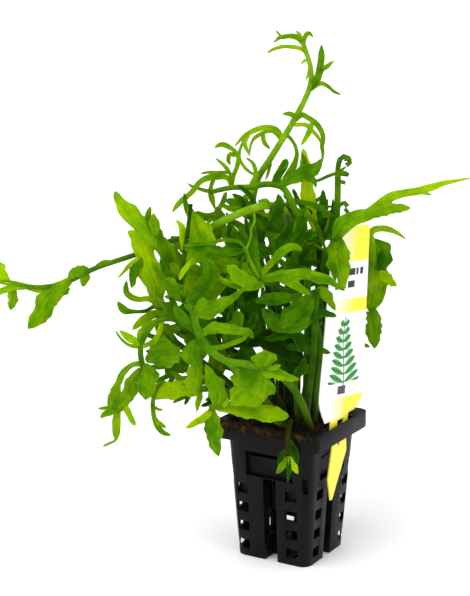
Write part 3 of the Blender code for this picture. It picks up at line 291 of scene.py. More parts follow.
def worn(tree, colour, spot, grain, along, leafy):
    """The colour with old spots and with browned tips."""
    spotted = add(tree, "TexNoise", spot, 1 / (SPOT * MM), 1.0)
    spots = add(tree, "ValToRGB", spotted, stops=((0.7, 0.0), (0.76, 0.4)))
    colour = add(tree, "Mix", spots, colour, "#5b4a12", data_type="RGBA")
    ragged = add(tree, "Math", grain, 0.2, along, operation="MULTIPLY_ADD")
    tipped = add(tree, "ValToRGB", ragged, stops=((1.0, 0.0), (1.1, 0.3)))
    tipped = add(tree, "Math", tipped, leafy, operation="MULTIPLY")
    return add(tree, "Mix", tipped, colour, "#8a8a1c", data_type="RGBA")


print("side veins are", VEIN_GAP, "mm apart")

# %% Leaf material
GREENS = ((0.0, "#0a2600"), (0.28, "#1c4c00"), (0.52, "#467c00"), (0.74, "#72a200"), (0.98, "#9cc400"))
STALK_GREENS = ((0.1, "#183c02"), (0.45, "#3b7004"), (0.72, "#66980a"), (0.95, "#8ebc20"))
WAX_SHEEN = "#d8ee80"
FURROW = 0.15
# The stalks are brown and dark at their feet, up to this height: partly their own brown, partly painted
# shade low in the bush.
BROWN_AND_SHADE_LOW = 62.0
BROWN_AND_SHADE_HIGH = 104.0


def leaf_material():
    material, tree, shader = new_material(
        "fern_leaf", IOR=1.42, Specular_IOR_Level=0.12, Specular_Tint=WAX_SHEEN,
        Subsurface_Weight=0.1, Subsurface_Scale=SCATTER * MM, Subsurface_Radius=(0.45, 1.0, 0.1),
    )
    chart = add(tree, "Attribute", attribute_name="leaf_map")
    aside, along, sunlit = add(tree, "SeparateColor", chart.outputs["Color"]).outputs
    stalky = chart.outputs["Alpha"]
    leafy = add(tree, "Math", 1.0, stalky, operation="SUBTRACT")
    place_mm = add(tree, "Attribute", attribute_name="leaf_place").outputs["Vector"]
    spot = add(tree, "TexCoord").outputs["Object"]
    blotch = add(tree, "TexNoise", spot, 1 / (BLOTCH * MM), 3.0, 0.6)
    grain = add(tree, "TexNoise", spot, 1 / (GRAIN * MM), 2.0, 0.6)
    drawn_out = (1 / STREAK, 1 / (STREAK * STREAK_STRETCH), 1.0)
    stretched = add(tree, "VectorMath", place_mm, drawn_out, operation="MULTIPLY")
    streak = add(tree, "TexNoise", stretched, 1.0, 2.0)
    tone = leaf_tone(tree, spot, blotch, streak, sunlit)
    colour = add(tree, "ValToRGB", tone, stops=GREENS)

    # The veins are a little darker, and the edge is painted lighter, as painted light where more light
    # passes through it.
    rib, side_veins = leaf_veins(tree, aside, place_mm)
    edge = add(tree, "ValToRGB", aside, stops=((0.72, 0.0), (1.0, 1.0)))
    lines = ((rib, 0.22, "#1d5207"), (side_veins, 0.09, "#2a6a0a"), (edge, 0.05, "#9ccb12"))
    for mask, share, tint in lines:
        shown = add(tree, "Math", mask, share, operation="MULTIPLY")
        shown = add(tree, "Math", shown, leafy, operation="MULTIPLY")
        colour = add(tree, "Mix", shown, colour, tint, data_type="RGBA")
    colour = worn(tree, colour, spot, grain, along, leafy)

    # Stalks: even green, browner close to the roots, partly their own brown and partly painted shade
    stalk_colour = add(tree, "ValToRGB", tone, stops=STALK_GREENS)
    colour = add(tree, "Mix", stalky, colour, stalk_colour, data_type="RGBA")
    height = add(tree, "SeparateXYZ", spot).outputs["Z"]
    low = add(tree, "MapRange", height, BROWN_AND_SHADE_LOW * MM, BROWN_AND_SHADE_HIGH * MM, 0.85, 0.0)
    low = add(tree, "Math", low, stalky, operation="MULTIPLY")
    colour = add(tree, "Mix", low, colour, "#33290a", data_type="RGBA")
    bloom = add(tree, "ValToRGB", grain, stops=((0.3, "#e6e6e6"), (0.7, "#ffffff")))
    colour = add(tree, "Mix", 1.0, colour, bloom, data_type="RGBA", blend_type="MULTIPLY")

    rough = add(tree, "MapRange", blotch, 0.3, 0.7, 0.34, 0.52)
    veins = add(tree, "Math", rib, side_veins, operation="ADD")
    furrows = add(tree, "Math", veins, -0.4, streak, operation="MULTIPLY_ADD")
    relief = add(tree, "Math", grain, 0.3, furrows, operation="MULTIPLY_ADD")
    bump = add(tree, "Bump", Strength=0.5, Distance=FURROW * MM, Height=relief)
    fill(tree, shader, Base_Color=colour, Roughness=rough, Normal=bump)
    return material


LEAF = leaf_material()
print("leaf material has", len(LEAF.node_tree.nodes), "nodes")

# %% [markdown]
# ## Fronds
#
# A frond is written down as a few stalks and lobes, each a short run of points across and up the drawing
# plane, with how near to the eye it comes. A smooth curve is run through the points. A stalk is a circle
# extruded along its curve. A lobe is a grid bent over its curve and given a thickness.

# %% Points in space
DENSE_STEPS = 12
# Below this, a run points too nearly at the eye to take its side from it.
END_ON = 0.4
STEADY = 1.5


def place(across, up, near):
    """A point of the drawing plane, moved towards the viewer's eye by its nearness."""
    on_plane = ACROSS * across + UP * up
    return on_plane + (EYE - on_plane) * (near / EYE_DISTANCE)


def blend(values, share):
    """The value at a share of the way along an evenly spaced list; a single value is the same all along."""
    if not isinstance(values, tuple):
        return values
    spot = share * (len(values) - 1)
    low = min(int(spot), len(values) - 2)
    return values[low] + (values[low + 1] - values[low]) * (spot - low)


def curve_through(points, step):
    """Points about a step apart on a smooth curve through the given points."""
    points = [Vector(point) for point in points]
    padded = [2 * points[0] - points[1], *points, 2 * points[-1] - points[-2]]
    dense = []
    for i in range(1, len(padded) - 2):
        a, b, c, d = padded[i - 1 : i + 3]
        for k in range(DENSE_STEPS):
            t = k / DENSE_STEPS
            square, cube = 2 * a - 5 * b + 4 * c - d, 3 * b - a - 3 * c + d
            dense.append(0.5 * (2 * b + (c - a) * t + square * t**2 + cube * t**3))
    dense.append(points[-1])
    return evenly(dense, step)


def evenly(dense, step):
    """The run of points, spaced a step apart or a little more or less, so that they come out even."""
    lengths = [0.0]
    for a, b in zip(dense, dense[1:]):
        lengths.append(lengths[-1] + (b - a).to_3d().length)
    count = max(3, round(lengths[-1] / step))
    spaced, i = [], 1
    for k in range(count + 1):
        goal = lengths[-1] * k / count
        while i < len(dense) - 1 and lengths[i] < goal:
            i += 1
        span = lengths[i] - lengths[i - 1]
        share = min(1.0, (goal - lengths[i - 1]) / span) if span else 0.0
        spaced.append(dense[i - 1].lerp(dense[i], share))
    return spaced


# lit, for a stalk or a lobe, is painted light and shade: its share of sun, painted into its green.
def stalk(radius, near, *points, lit=None):
    """A round stalk through points given as across and up; radius and nearness change evenly along it."""
    return {"kind": "stalk", "radius": radius, "near": near, "points": points, "lit": lit}


def blade(near, *points, lit=None):
    """A flat leaf lobe through points given as across, up and width; lit is its painted share of sun, or
    several.
    """
    return {"kind": "blade", "near": near, "points": points, "lit": lit}


def course(part, step):
    """The part's middle line in space, with the width or radius at each point."""
    count = len(part["points"])
    raised = []
    for i, point in enumerate(part["points"]):
        share = i / (count - 1)
        spot = place(point[0], point[1], blend(part["near"], share))
        size = point[2] if part["kind"] == "blade" else blend(part["radius"], share)
        raised.append((*spot, size))
    return curve_through(raised, step)


def frames_along(line, roll=0.0):
    """For each point of a line: the point, the direction ahead, the side and the outward direction."""
    frames, previous = [], None
    for i, point in enumerate(line):
        middle = point.to_3d()
        before, after = line[max(i - 1, 0)].to_3d(), line[min(i + 1, len(line) - 1)].to_3d()
        forward = (after - before).normalized()
        side = forward.cross((EYE - middle).normalized())
        if side.length < END_ON and previous is not None:
            side = previous - forward * previous.dot(forward)
        side.normalize()
        if previous is not None:
            if side.dot(previous) < 0:
                side.negate()
            side = (side + previous * STEADY).normalized()
            side = (side - forward * side.dot(forward)).normalized()
        previous = side.copy()
        side = Matrix.Rotation(roll, 3, forward) @ side
        frames.append((middle, forward, side, side.cross(forward)))
    return frames


print("curve tools ready")

# %% [markdown]
# A stalk is round at its foot and a little flat at its end. Its circle is extruded from each point of its
# line to the next, and is turned and resized on the way.

# %% Growing a stalk
STALK_STEP = 2.2
STALK_SIDES = 10
STALK_FLAT = 0.4
THINNEST = 0.3


def pose(spot, forward, side, out, radius, flat=0.0):
    """A matrix that carries a flat unit circle to a ring of a stalk, which a share may flatten."""
    made = Matrix((side * radius * (1 + flat * 0.5), out * radius * (1 - flat), forward * radius))
    made = made.transposed().to_4x4()
    made.translation = spot
    return made


def grow_tube(bm, frames, radii, sides, flat=0.0):
    """Extrudes a circle from frame to frame, closes both ends and gives back all the points."""
    last = len(frames) - 1
    old = pose(*frames[0], radii[0])
    made = bmesh.ops.create_circle(bm, cap_ends=True, radius=1.0, segments=sides, matrix=old)["verts"]
    edges = list({edge for vert in made for edge in vert.link_edges})
    grown = [(vert, 0.0) for vert in made]
    for i in range(1, len(frames)):
        new = pose(*frames[i], radii[i], flat * i / last)
        extruded = bmesh.ops.extrude_edge_only(bm, edges=edges)["geom"]
        verts = [item for item in extruded if isinstance(item, bmesh.types.BMVert)]
        fresh = set(verts)
        edges = [item for item in extruded if isinstance(item, bmesh.types.BMEdge)]
        edges = [edge for edge in edges if fresh.issuperset(edge.verts)]
        bmesh.ops.transform(bm, matrix=new @ old.inverted(), verts=verts)
        grown.extend((vert, i / last) for vert in verts)
        old = new
    bmesh.ops.edgeloop_fill(bm, edges=edges)
    return grown


def grow_stalk(bm, part, layers, tone, seed):
    line = course(part, STALK_STEP)
    radii = [max(point[3], THINNEST) * 1.02 for point in line]
    for vert, along in grow_tube(bm, frames_along(line), radii, STALK_SIDES, STALK_FLAT):
        vert[layers[0]] = (0.5, along, blend(tone, along), 1.0)
        vert[layers[1]] = (0.0, along * len(line) * STALK_STEP, seed * 5.0)


print("stalk tools ready")

# %% [markdown]
# A lobe of a water sprite is a soft strap: widest near its middle, joined to its stalk by a web, cupped a
# little, creased along its midrib and wavy at its edges. It is made as a flat grid, because a grid's rows
# can each be set across the curve, and Solidify's operator then gives it the leaf's thickness.

# %% Growing a lobe
BLADE_STEP = 1.1
BLADE_COLUMNS = 8
BLADE_THICK = 0.32
# A lobe wider than the first is webbed and ends blunt, and one wider than the second is toothed.
BROAD_FROM = 3.5
TOOTHED_FROM = 4.0
BLUNT = 0.45
WEB = 0.55
SLOW_WAVE = 0.09
QUICK_WAVE = 0.04
TOOTH = 0.24
TOOTH_RISE = 0.08
TOOTH_FALL = 0.03
TEETH = 4
FIRST_TOOTH = 0.3
TOOTH_GAP = 0.17
SWAY = 0.07
CREASE = 0.045
CREASE_SHARPNESS = 7.0
CUP = 0.06
RIPPLE = 0.1
LIFT = 0.3
# The foot of a lobe is part stalk, for about two millimetres.
STALKY_FOOT = 0.6
FOOT_FADE = 3.0
ROLLS = (11.0, -9.0, 16.0, -14.0, 6.0)


def edge_share(along, side, seed, width):
    """How far the lobe's edge reaches at a point: wavy, and toothed where the lobe is broad."""
    slow = math.sin(along * 9.0 + seed * 2.1 + side)
    quick = math.sin(along * 21.0 + seed * 5.3)
    wave = 1.0 + SLOW_WAVE * slow + QUICK_WAVE * quick
    if width > TOOTHED_FROM:
        for k in range(TEETH):
            middle = FIRST_TOOTH + TOOTH_GAP * k + 0.05 * math.sin(seed * 7.0 + k * 3.0 + side * 2.0)
            ahead = along - middle
            # A tooth rises slowly and ends steeply, so that it points towards the tip.
            wave += TOOTH * math.exp(-((ahead / (TOOTH_RISE if ahead < 0 else TOOTH_FALL)) ** 2))
        wave -= TOOTH * 0.3
    return wave


def half_width(point, run, left, widest, ending):
    """Half the lobe's width at a point: webbed where it leaves its stalk, and rounded at both ends."""
    width = point[3]
    if widest > BROAD_FROM:
        web = widest * WEB * math.exp(-1.6 * run / widest)
        width = (width**3 + web**3) ** (1 / 3)
    foot = min(1.0, (run + 0.2) / (0.5 * width + 0.2))
    tip = min(1.0, (left + 0.03) / max(ending * 0.75, 0.3))
    return width / 2 * math.sqrt(foot * tip)


def grow_blade(bm, part, layers, tone, seed):
    """Bends a grid over the lobe's curve, cupped across and wavy along its edges, and thickens it."""
    widest = max(point[2] for point in part["points"])
    *before, (*tip, narrow) = part["points"]
    if widest > BROAD_FROM:
        narrow = max(narrow, before[-1][2] * BLUNT)
    part = {**part, "points": (*before, (*tip, narrow))}
    line = course(part, BLADE_STEP)
    frames = frames_along(line, math.radians(ROLLS[seed % len(ROLLS)]))
    rows = len(line) - 1
    length = rows * BLADE_STEP
    columns = BLADE_COLUMNS if widest > BROAD_FROM else BLADE_COLUMNS // 2
    grid = bmesh.ops.create_grid(bm, x_segments=rows, y_segments=columns, size=0.5)["verts"]
    for vert in grid:
        along, across = vert.co.x + 0.5, vert.co.y * 2
        row = round(along * rows)
        spot, _, side, out = frames[row]
        run = along * length
        reach = half_width(line[row], run, length - run, widest, narrow)
        reach *= edge_share(along, math.copysign(1.0, across), seed, widest)
        crease = math.exp(-abs(across) * CREASE_SHARPNESS)
        lift = -2 * CUP * reach * across * across - 2 * CREASE * reach * crease
        lift += RIPPLE * reach * across * across * math.sin(run * 0.55 + seed + across * 1.3)
        stalky = max(0.0, STALKY_FOOT - run / FOOT_FADE)
        vert[layers[0]] = (abs(across), along, blend(tone, along), stalky)
        vert[layers[1]] = (across * reach, run, seed * 5.0)
        sway = SWAY * widest * along * math.sin(along * 7.0 + seed * 1.7)
        vert.co = spot + side * (across * reach + sway) + out * (lift + LIFT)
    faces = list({face for vert in grid for face in vert.link_faces})
    bmesh.ops.solidify(bm, geom=faces, thickness=BLADE_THICK)


print("lobe tools ready")

# %% [markdown]
# A frond is one mesh. Inside the bush, more and narrower lobes branch off the broad ones than are worth
# writing down, so a loop adds them, at angles and lengths drawn by chance from the frond's own seed.

# %% Growing a frond
CRISP = math.radians(48.0)
BRANCH_FROM = 5.0
BRANCH_SPOTS = (0.28, 0.56)
BRANCH_MISSING = 0.2
# Between which values chance draws a side lobe's two angles, in degrees, how far its tip comes nearer, in
# millimetres, and its length and breadth, as shares of the broad lobe's width
BRANCH_ANGLES = (22, 46)
BRANCH_BENDS = (5, 28)
BRANCH_DEPTHS = (-2.0, 2.4)
BRANCH_LENGTHS = (1.6, 2.5)
BRANCH_BREADTHS = (0.3, 0.4)
# Chance makes a lobe's share of sun differ from its frond's by up to this.
LOBE_TONES = 0.19


def side_lobes(parts, draw):
    """Narrow lobes that branch off each broad one, about two to a side, and point ahead."""
    made = []
    for part in parts:
        if part["kind"] == "stalk" or max(point[2] for point in part["points"]) < BRANCH_FROM:
            continue
        points = [Vector(point) for point in part["points"]]
        widest = max(point.z for point in points)
        for k, share in enumerate(BRANCH_SPOTS):
            spot = share * (len(points) - 1)
            low = int(spot)
            foot = points[low].lerp(points[low + 1], spot - low)
            ahead = (points[low + 1] - points[low]).to_2d().normalized()
            near = blend(part["near"], share)
            for side in (-1, 1):
                if draw.random() < BRANCH_MISSING:
                    continue
                turned = Matrix.Rotation(side * math.radians(draw.uniform(*BRANCH_ANGLES)), 2) @ ahead
                length = widest * draw.uniform(*BRANCH_LENGTHS) * (1.1 - 0.3 * k)
                bend = Matrix.Rotation(-side * math.radians(draw.uniform(*BRANCH_BENDS)), 2) @ turned
                middle = foot.to_2d() + turned * length * 0.5
                tip = middle + bend * length * 0.5
                aside = near + draw.uniform(*BRANCH_DEPTHS)
                breadth = widest * draw.uniform(*BRANCH_BREADTHS)
                line = ((*foot.to_2d(), widest * 0.34), (*middle, breadth), (*tip, 1.3))
                made.append(blade((near, (near + aside) / 2, aside), *line))
    return made


def grow_frond(name, slot, sun, *parts, dense=False):
    """One frond's piece: its stalks and lobes in one mesh, in place of its solid."""
    bm = bmesh.new()
    layers = bm.verts.layers.float_color.new("leaf_map"), bm.verts.layers.float_vector.new("leaf_place")
    draw = random.Random(name)
    if dense:
        parts = (*parts, *side_lobes(parts, draw))
    for seed, part in enumerate(parts):
        is_stalk = part["kind"] == "stalk"
        # The frond's share of sun, or the part's own lit, is painted light and shade in the part's green.
        tone = sun + (0.0 if is_stalk else draw.uniform(-LOBE_TONES, LOBE_TONES))
        if part["lit"] is not None:
            tone = part["lit"]
        grow = grow_stalk if is_stalk else grow_blade
        grow(bm, part, layers, tone, seed)
    piece = drawn(name + "_foliage", bm, LEAF)
    piece.data.set_sharp_from_angle(angle=CRISP)
    print(name, "has", len(parts), "stalks and lobes, and", len(piece.data.polygons), "faces")
    return stands_for(piece, name)


print("frond tools ready")

# %% [markdown]
# The cells below are the plant itself: each frond from its foot on the root mat outwards, its stalk first
# and then its lobes, mostly in the order in which they branch. The finest lobes, which the solids leave
# out, come last.
#
# The tallest frond carries the most finely divided leaf, whose thin lobes curl as they open. The level
# frond turns over just above the bush and runs left.

# %% The top of the plant
grow_frond("tall_frond", "leaf_green", 0.74,
    stalk((1.7, 1.5, 1.4, 1.1, 0.9), (-4, -9, -9, -8, -5, -3, -2, 0, 0, 0), (0.5, 68.5), (-3, 95),
        (-12, 130), (-19, 158), (-17.3, 177.5), (-10.3, 190), (-1.2, 205), (6.3, 220), (7.2, 230),
        (3.4, 242.2), lit=(0.2, 0.46, 0.84, 0.8)),
    blade(0, (3.6, 241, 2), (4.8, 245, 2), (6.5, 246, 1.6), (8.2, 244.3, 0.6)),
    blade(0, (4.4, 240.6, 2.2), (1, 244, 2.3), (-2, 244.7, 2), (-5.5, 244.2, 1.8), (-8.4, 243.8, 1)),
    blade(0, (-5.6, 243.8, 1.4), (-8.6, 247.3, 0.6)),
    blade(0, (-6.4, 244.2, 1.5), (-9.7, 242, 0.6)),
    blade(0, (2.8, 243, 1.6), (2, 245.4, 1.7), (0.3, 246.8, 0.6)),
    blade(0, (4.9, 237.6, 1.6), (1.9, 239.5, 1.6), (-4.2, 240.1, 1.5), (-10, 238.8, 1.1),
        (-12.5, 237.3, 0.5)),
    blade(0, (6.8, 233.9, 1.4), (4.3, 233.7, 1.3), (2.8, 232.2, 0.5)),
    blade(0, (7, 230.6, 2), (5.2, 225.2, 0.6)),
    blade((0, 2, 3), (6.6, 221, 2.4), (9.4, 224.3, 3.3), (11.1, 227.7, 3.5), (11.5, 233.3, 3.3),
        (11.8, 237.6, 2.4), (12, 241, 0.6)),
    blade((1, 4), (11.2, 228.6, 1.8), (13.2, 230.5, 2), (15.4, 232, 1.7), (17.8, 233.7, 0.5)),
    blade((0, 3), (6.4, 220.4, 2.2), (11.3, 223.6, 1.8), (14.6, 222.5, 1.5), (17.6, 220, 1.3),
        (20.9, 218.7, 0.5)),
    blade((-1, 2), (1.5, 207.8, 2), (-1.6, 209.7, 2.3), (-5.3, 209.5, 0.7)),
    blade((-2, 5, 3), (0.2, 206.6, 2), (3.2, 209.3, 2.2), (5.9, 208.2, 2.3), (9.4, 206, 2.3),
        (12, 202.9, 2.3), (13.3, 199, 2.1), (12.7, 195.3, 2), (13.1, 191.9, 1.6), (12.6, 187.5, 0.6)),
    blade((-2, 0), (-0.6, 204.8, 1.6), (5, 205, 1.7), (8, 202.5, 1.7), (11.1, 199, 1.4), (12.4, 196.4, 0.8)),
    blade((3, 6), (8.4, 206.4, 2), (6.3, 200.7, 2.5), (3.2, 195.4, 0.7)),
    blade((-3, 3), (-4.9, 198.4, 2), (-8.1, 202.9, 2), (-14.2, 203.5, 2.2), (-21.7, 200.4, 1.9),
        (-27.3, 194.9, 0.6)),
    blade((-3, -7), (-5.4, 197.4, 1.8), (-10.3, 202, 1.7), (-17.3, 199.3, 1.6), (-19.7, 195.6, 1.3),
        (-20.4, 191, 0.5)),
    blade((-4.6, -8), (-14.4, 201.4, 1.8), (-13.8, 197.1, 2.2), (-11.2, 193.8, 0.6)),
    blade((1, 5), (-20.6, 200.8, 1.6), (-22.5, 195.8, 2), (-19.9, 190.5, 0.6)),
    blade((1, 3), (-21.6, 200.2, 1.3), (-24.8, 193, 1.3), (-24.6, 188.6, 1.3), (-21.6, 184.4, 1.4),
        (-16.9, 181.2, 0.6)),
    blade((-3, 1, 4), (-6.6, 196.6, 1.6), (-3.3, 199.8, 1.5), (0.2, 195.8, 1.5), (1.4, 191.6, 1.9),
        (0.7, 187.8, 2.7), (-0.6, 184.8, 3.1), (-2.9, 182.2, 2.7), (-5.4, 180, 1.2)),
    blade((-3.4, -5), (-11, 188.8, 1.6), (-10.8, 186, 1.5), (-11.7, 183.2, 1.4), (-12.9, 179.6, 0.7)),
)

# %% The level frond
grow_frond("level_frond", "leaf_green", 0.58,
    stalk((1.6, 1.4, 1.3, 1.3, 1.2, 0.9), (13, 14, 13, 11, 10.5, 10, 9.5, 9, 8, 8, 8), (3.5, 61), (7.4, 90),
        (7, 125), (4.6, 152), (0.8, 165), (-2.1, 171.8), (-6, 176.4), (-13, 177.4), (-20, 176),
        (-28.8, 175.7), (-38.5, 173.5)),
    blade((9.5, 9.5, 8), (-6.4, 177, 3), (-0.5, 180.3, 5), (5.6, 183.2, 6), (10.1, 185.4, 4.6),
        (12.4, 189.4, 1), lit=0.5),
    blade((9, 7), (3.9, 182.6, 2.6), (5, 187.3, 2.5), (3.6, 191.8, 0.7)),
    blade((9, 11), (5.4, 181.6, 2), (9, 179.8, 2.6), (10, 176, 0.7)),
    blade((9.4, 9, 9), (3, 181, 1.8), (9.6, 179.2, 1.3), (15.2, 181.2, 1.2), (20.2, 183.2, 1.2),
        (23.8, 186, 0.8)),
    blade((8, 10), (-28.4, 176, 2), (-30.5, 180.2, 2.4), (-35, 180.8, 2.6), (-40.2, 180.1, 2.5),
        (-43.8, 177.9, 2.3), (-47.2, 173.4, 2.3), (-52.5, 168.6, 2.5), (-56, 164.3, 0.7)),
    blade((8, 6), (-37, 173.8, 1.6), (-42, 174.8, 1.5), (-46.4, 176.2, 1.2), (-48.6, 177.7, 0.5)),
    blade(8, (-36.6, 180.6, 1.7), (-38, 176, 2.2), (-37.8, 171, 2.7), (-36.3, 165.9, 0.8)),
    blade((8, 5), (-28.6, 175.4, 2), (-27.9, 181, 2.1), (-26.1, 185.5, 2.1), (-25.2, 189.9, 2.1),
        (-27.6, 193.4, 1.9), (-32.7, 195.6, 2.3), (-36.3, 194.3, 0.7)),
    blade((6.5, 4), (-25.8, 190.6, 1.5), (-29.2, 191.3, 2.1), (-29.9, 189, 2.1), (-29.2, 186.4, 0.7)),
    blade((8, 11), (-28.4, 177.4, 1.6), (-28.8, 181, 1.7), (-32, 186, 1.6), (-35.8, 189.4, 0.6)),
    blade((9, 12), (-29.8, 183, 1.3), (-35, 182.8, 1.4), (-39.3, 183, 1.2), (-42.9, 182.3, 0.5)),
    blade((9, 11), (-9.6, 177, 2.8), (-8.3, 179, 3.6), (-5.7, 184.2, 4), (-4.2, 187.6, 3.2),
        (-3.6, 189.4, 1.2)),
    blade((8, 4), (-20, 176.6, 1.8), (-17.6, 181.4, 2.2), (-18.6, 186.8, 1.6), (-21.8, 189.8, 0.6)),
    blade((8, 12), (-18, 175.8, 2), (-22, 171, 2.8), (-26.6, 168, 2.2), (-30.4, 167.4, 0.7)),
    # Finer lobes
    blade((8, 14), (-31, 173.6, 1.8), (-33, 168.4, 2.2), (-36.7, 163, 2), (-40.5, 157.8, 1), lit=0.55),
    blade((10.2, 9), (-1.2, 170.4, 1.6), (9, 168, 2.5), (14, 165.5, 2.3), (18.8, 162.8, 0.8), lit=0.42),
    blade((9.6, 8), (6, 169.2, 1), (12.2, 167.8, 1), (16.9, 167.4, 0.8), (20, 168.6, 0.6), lit=0.38),
    blade((10.4, 10), (0.6, 166.4, 1.6), (8, 162, 2), (11, 158, 2), (13, 152, 1.8), (15, 146.8, 0.8),
        lit=0.5),
    blade((10.6, 10), (1.4, 163.4, 1), (6, 156.4, 1.4), (9, 151, 1.4), (12, 148.2, 1.2), (15.2, 147, 0.6),
        lit=0.66),
    blade((8.6, 6), (13.4, 166, 1.4), (15, 162, 2.8), (14.4, 157, 2.8), (13.4, 152.6, 1), lit=0.7),
)

# %% [markdown]
# On the left, one thin frond reaches far out, a broad one stands up in the light, and two hang down. They
# stand free of the bush, so their lobes are its outline on this side.

# %% The long frond to the left
grow_frond("long_left_frond", "leaf_bright", 0.76,
    stalk((1.7, 1.6, 1.6, 1.6, 1.6, 1.2, 1.1, 1, 0.9),
        (0, -3, -3, -2, 6, 14, 19, 21, 21, 19, 14, 9.5, 7, 9, 9, 9, 9), (-6, 66.5), (-4, 100), (-2, 135),
        (-1.4, 152), (-2.4, 161), (-6, 166.2), (-12, 167.4), (-20, 165.7), (-31.4, 160.7), (-39.3, 156.6),
        (-48, 153), (-57, 150.5), (-72.6, 144.3), (-92, 137.5), (-106, 130.6), (-119, 128), (-131, 129.2),
        lit=(0.1, 0.2, 0.46, 0.9, 0.5, 0.5, 0.6)),
    blade(8, (-93, 137.2, 1.4), (-88.6, 140.2, 2), (-84, 140.4, 1.6), (-80, 141.4, 0.8)),
    blade((8, 11), (-94.6, 136.2, 2), (-98.5, 136.6, 4), (-102, 135.2, 4.4), (-105.6, 132.6, 2)),
    blade((8, 10), (-96.4, 136, 3), (-97.6, 132.4, 4.4), (-98.9, 128.8, 0.9)),
    blade((9, 12, 15), (-103.6, 132.4, 2.2), (-108, 129, 5.4), (-112, 125, 7.2), (-116, 120.5, 8.6),
        (-119.6, 115, 7.6), (-122.4, 110.6, 5), (-124.6, 107.8, 1)),
    blade((9, 8), (-107.4, 129.8, 3.6), (-107.6, 126.6, 4.8), (-108.4, 124, 3.4)),
    blade(9, (-111, 129.2, 2), (-117, 127.4, 3.4), (-123, 128, 2.9), (-128, 129.1, 2.3), (-134, 130.2, 2.3),
        (-140, 131.4, 1)),
    blade((9, 11), (-124, 128.4, 1.8), (-129, 128, 2.6), (-134, 127, 2.9), (-140, 125, 2.6),
        (-146, 122, 0.8)),
    blade((9, 12), (-131, 127.8, 3), (-131.8, 123.5, 4.4), (-132.3, 120, 3.8), (-132.6, 117, 1.8)),
    blade((9, 6), (-132.8, 129.8, 2.2), (-135.6, 133, 4.2), (-137.6, 137, 4.6), (-138.8, 141, 1.8)),
)

# %% The broad frond at the left
grow_frond("broad_left_frond", "leaf_bright", 0.76,
    stalk((1.6, 1.5, 1.4, 1.3, 1.2), (11, 15, 17, 17, 17, 16), (-8.5, 63.5), (-20, 80), (-36, 98),
        (-50, 111), (-60, 119), (-64, 128)),
    blade((17, 17, 15.6, 14), (-61.4, 117.4, 3), (-63.4, 122.9, 6), (-63.6, 128.1, 9.4), (-64.8, 132.5, 12),
        (-66.9, 137.7, 10.8), (-69, 142.8, 7.6), (-71.1, 148, 8), (-74.2, 152.4, 5.4), (-77.2, 154.6, 1),
        lit=(0.56, 0.78, 0.9)),
    blade((17, 16, 15, 12, 9, 8), (-58, 127.4, 2.4), (-57.4, 135, 3.4), (-60.3, 145.1, 5), (-64.5, 151.8, 7),
        (-68.1, 155.6, 7.6), (-73.1, 160.2, 8.4), (-77.3, 164.9, 7.4), (-80.7, 169.6, 5), (-82.2, 174, 1.4),
        lit=(0.5, 0.68, 0.78, 0.82)),
    blade((16, 17), (-59.4, 142, 2.4), (-62, 148, 4.6), (-63.6, 154, 5), (-64.3, 159, 4.4),
        (-64.6, 163.7, 1.4)),
    stalk((1.3, 1.1), 17, (-51, 112), (-55.6, 119), (-58.2, 128)),
    blade((16.4, 14), (-63.2, 152, 3), (-66.2, 157.6, 3), (-67.5, 162.6, 3.2), (-66.3, 166.8, 0.8)),
    blade((16.6, 20, 22), (-57, 134, 2), (-58.2, 138.4, 3.4), (-60.3, 144.3, 4), (-61.8, 150.3, 3.6),
        (-61.2, 156.2, 0.8), lit=0.5),
    blade((17, 15), (-55.6, 128, 2), (-55, 135, 5), (-55.6, 141, 6.6), (-57.2, 146, 5.8), (-59.2, 150, 3.6),
        (-60.6, 152.6, 1)),
    blade((16, 18), (-71.6, 142.6, 2), (-77, 138.6, 1.7), (-79.6, 135.4, 1.1), (-81.8, 132.8, 0.5)),
    blade((16.8, 19), (-74.6, 140.6, 1.2), (-76.8, 138, 1.4), (-78.6, 135.8, 0.5)),
    blade((16, 19), (-70.6, 142.6, 3.4), (-73.6, 137, 4.2), (-75, 132, 3.2), (-75.8, 128.3, 1), lit=0.42),
    blade((17, 20), (-61.8, 119.6, 3), (-67.5, 122.9, 2.2), (-72, 122.8, 2.2), (-76, 124.3, 2.8),
        (-78.1, 127, 3), (-78, 131.8, 0.7), lit=(0.7, 0.5)),
    blade((17, 14), (-59.6, 118.4, 2.2), (-65, 119.3, 1.8), (-69, 117.3, 1.6), (-75, 116.8, 1.7),
        (-78.6, 117, 3.4), (-80.8, 118.9, 3), (-82.5, 121.5, 0.6), lit=(0.3, 0.4, 0.56)),
    blade((17, 20), (-57.6, 117, 2.4), (-64.5, 115.9, 3.6), (-69, 113.3, 4), (-72.5, 111, 3.2),
        (-75.6, 108.5, 0.8), lit=(0.56, 0.8)),
)

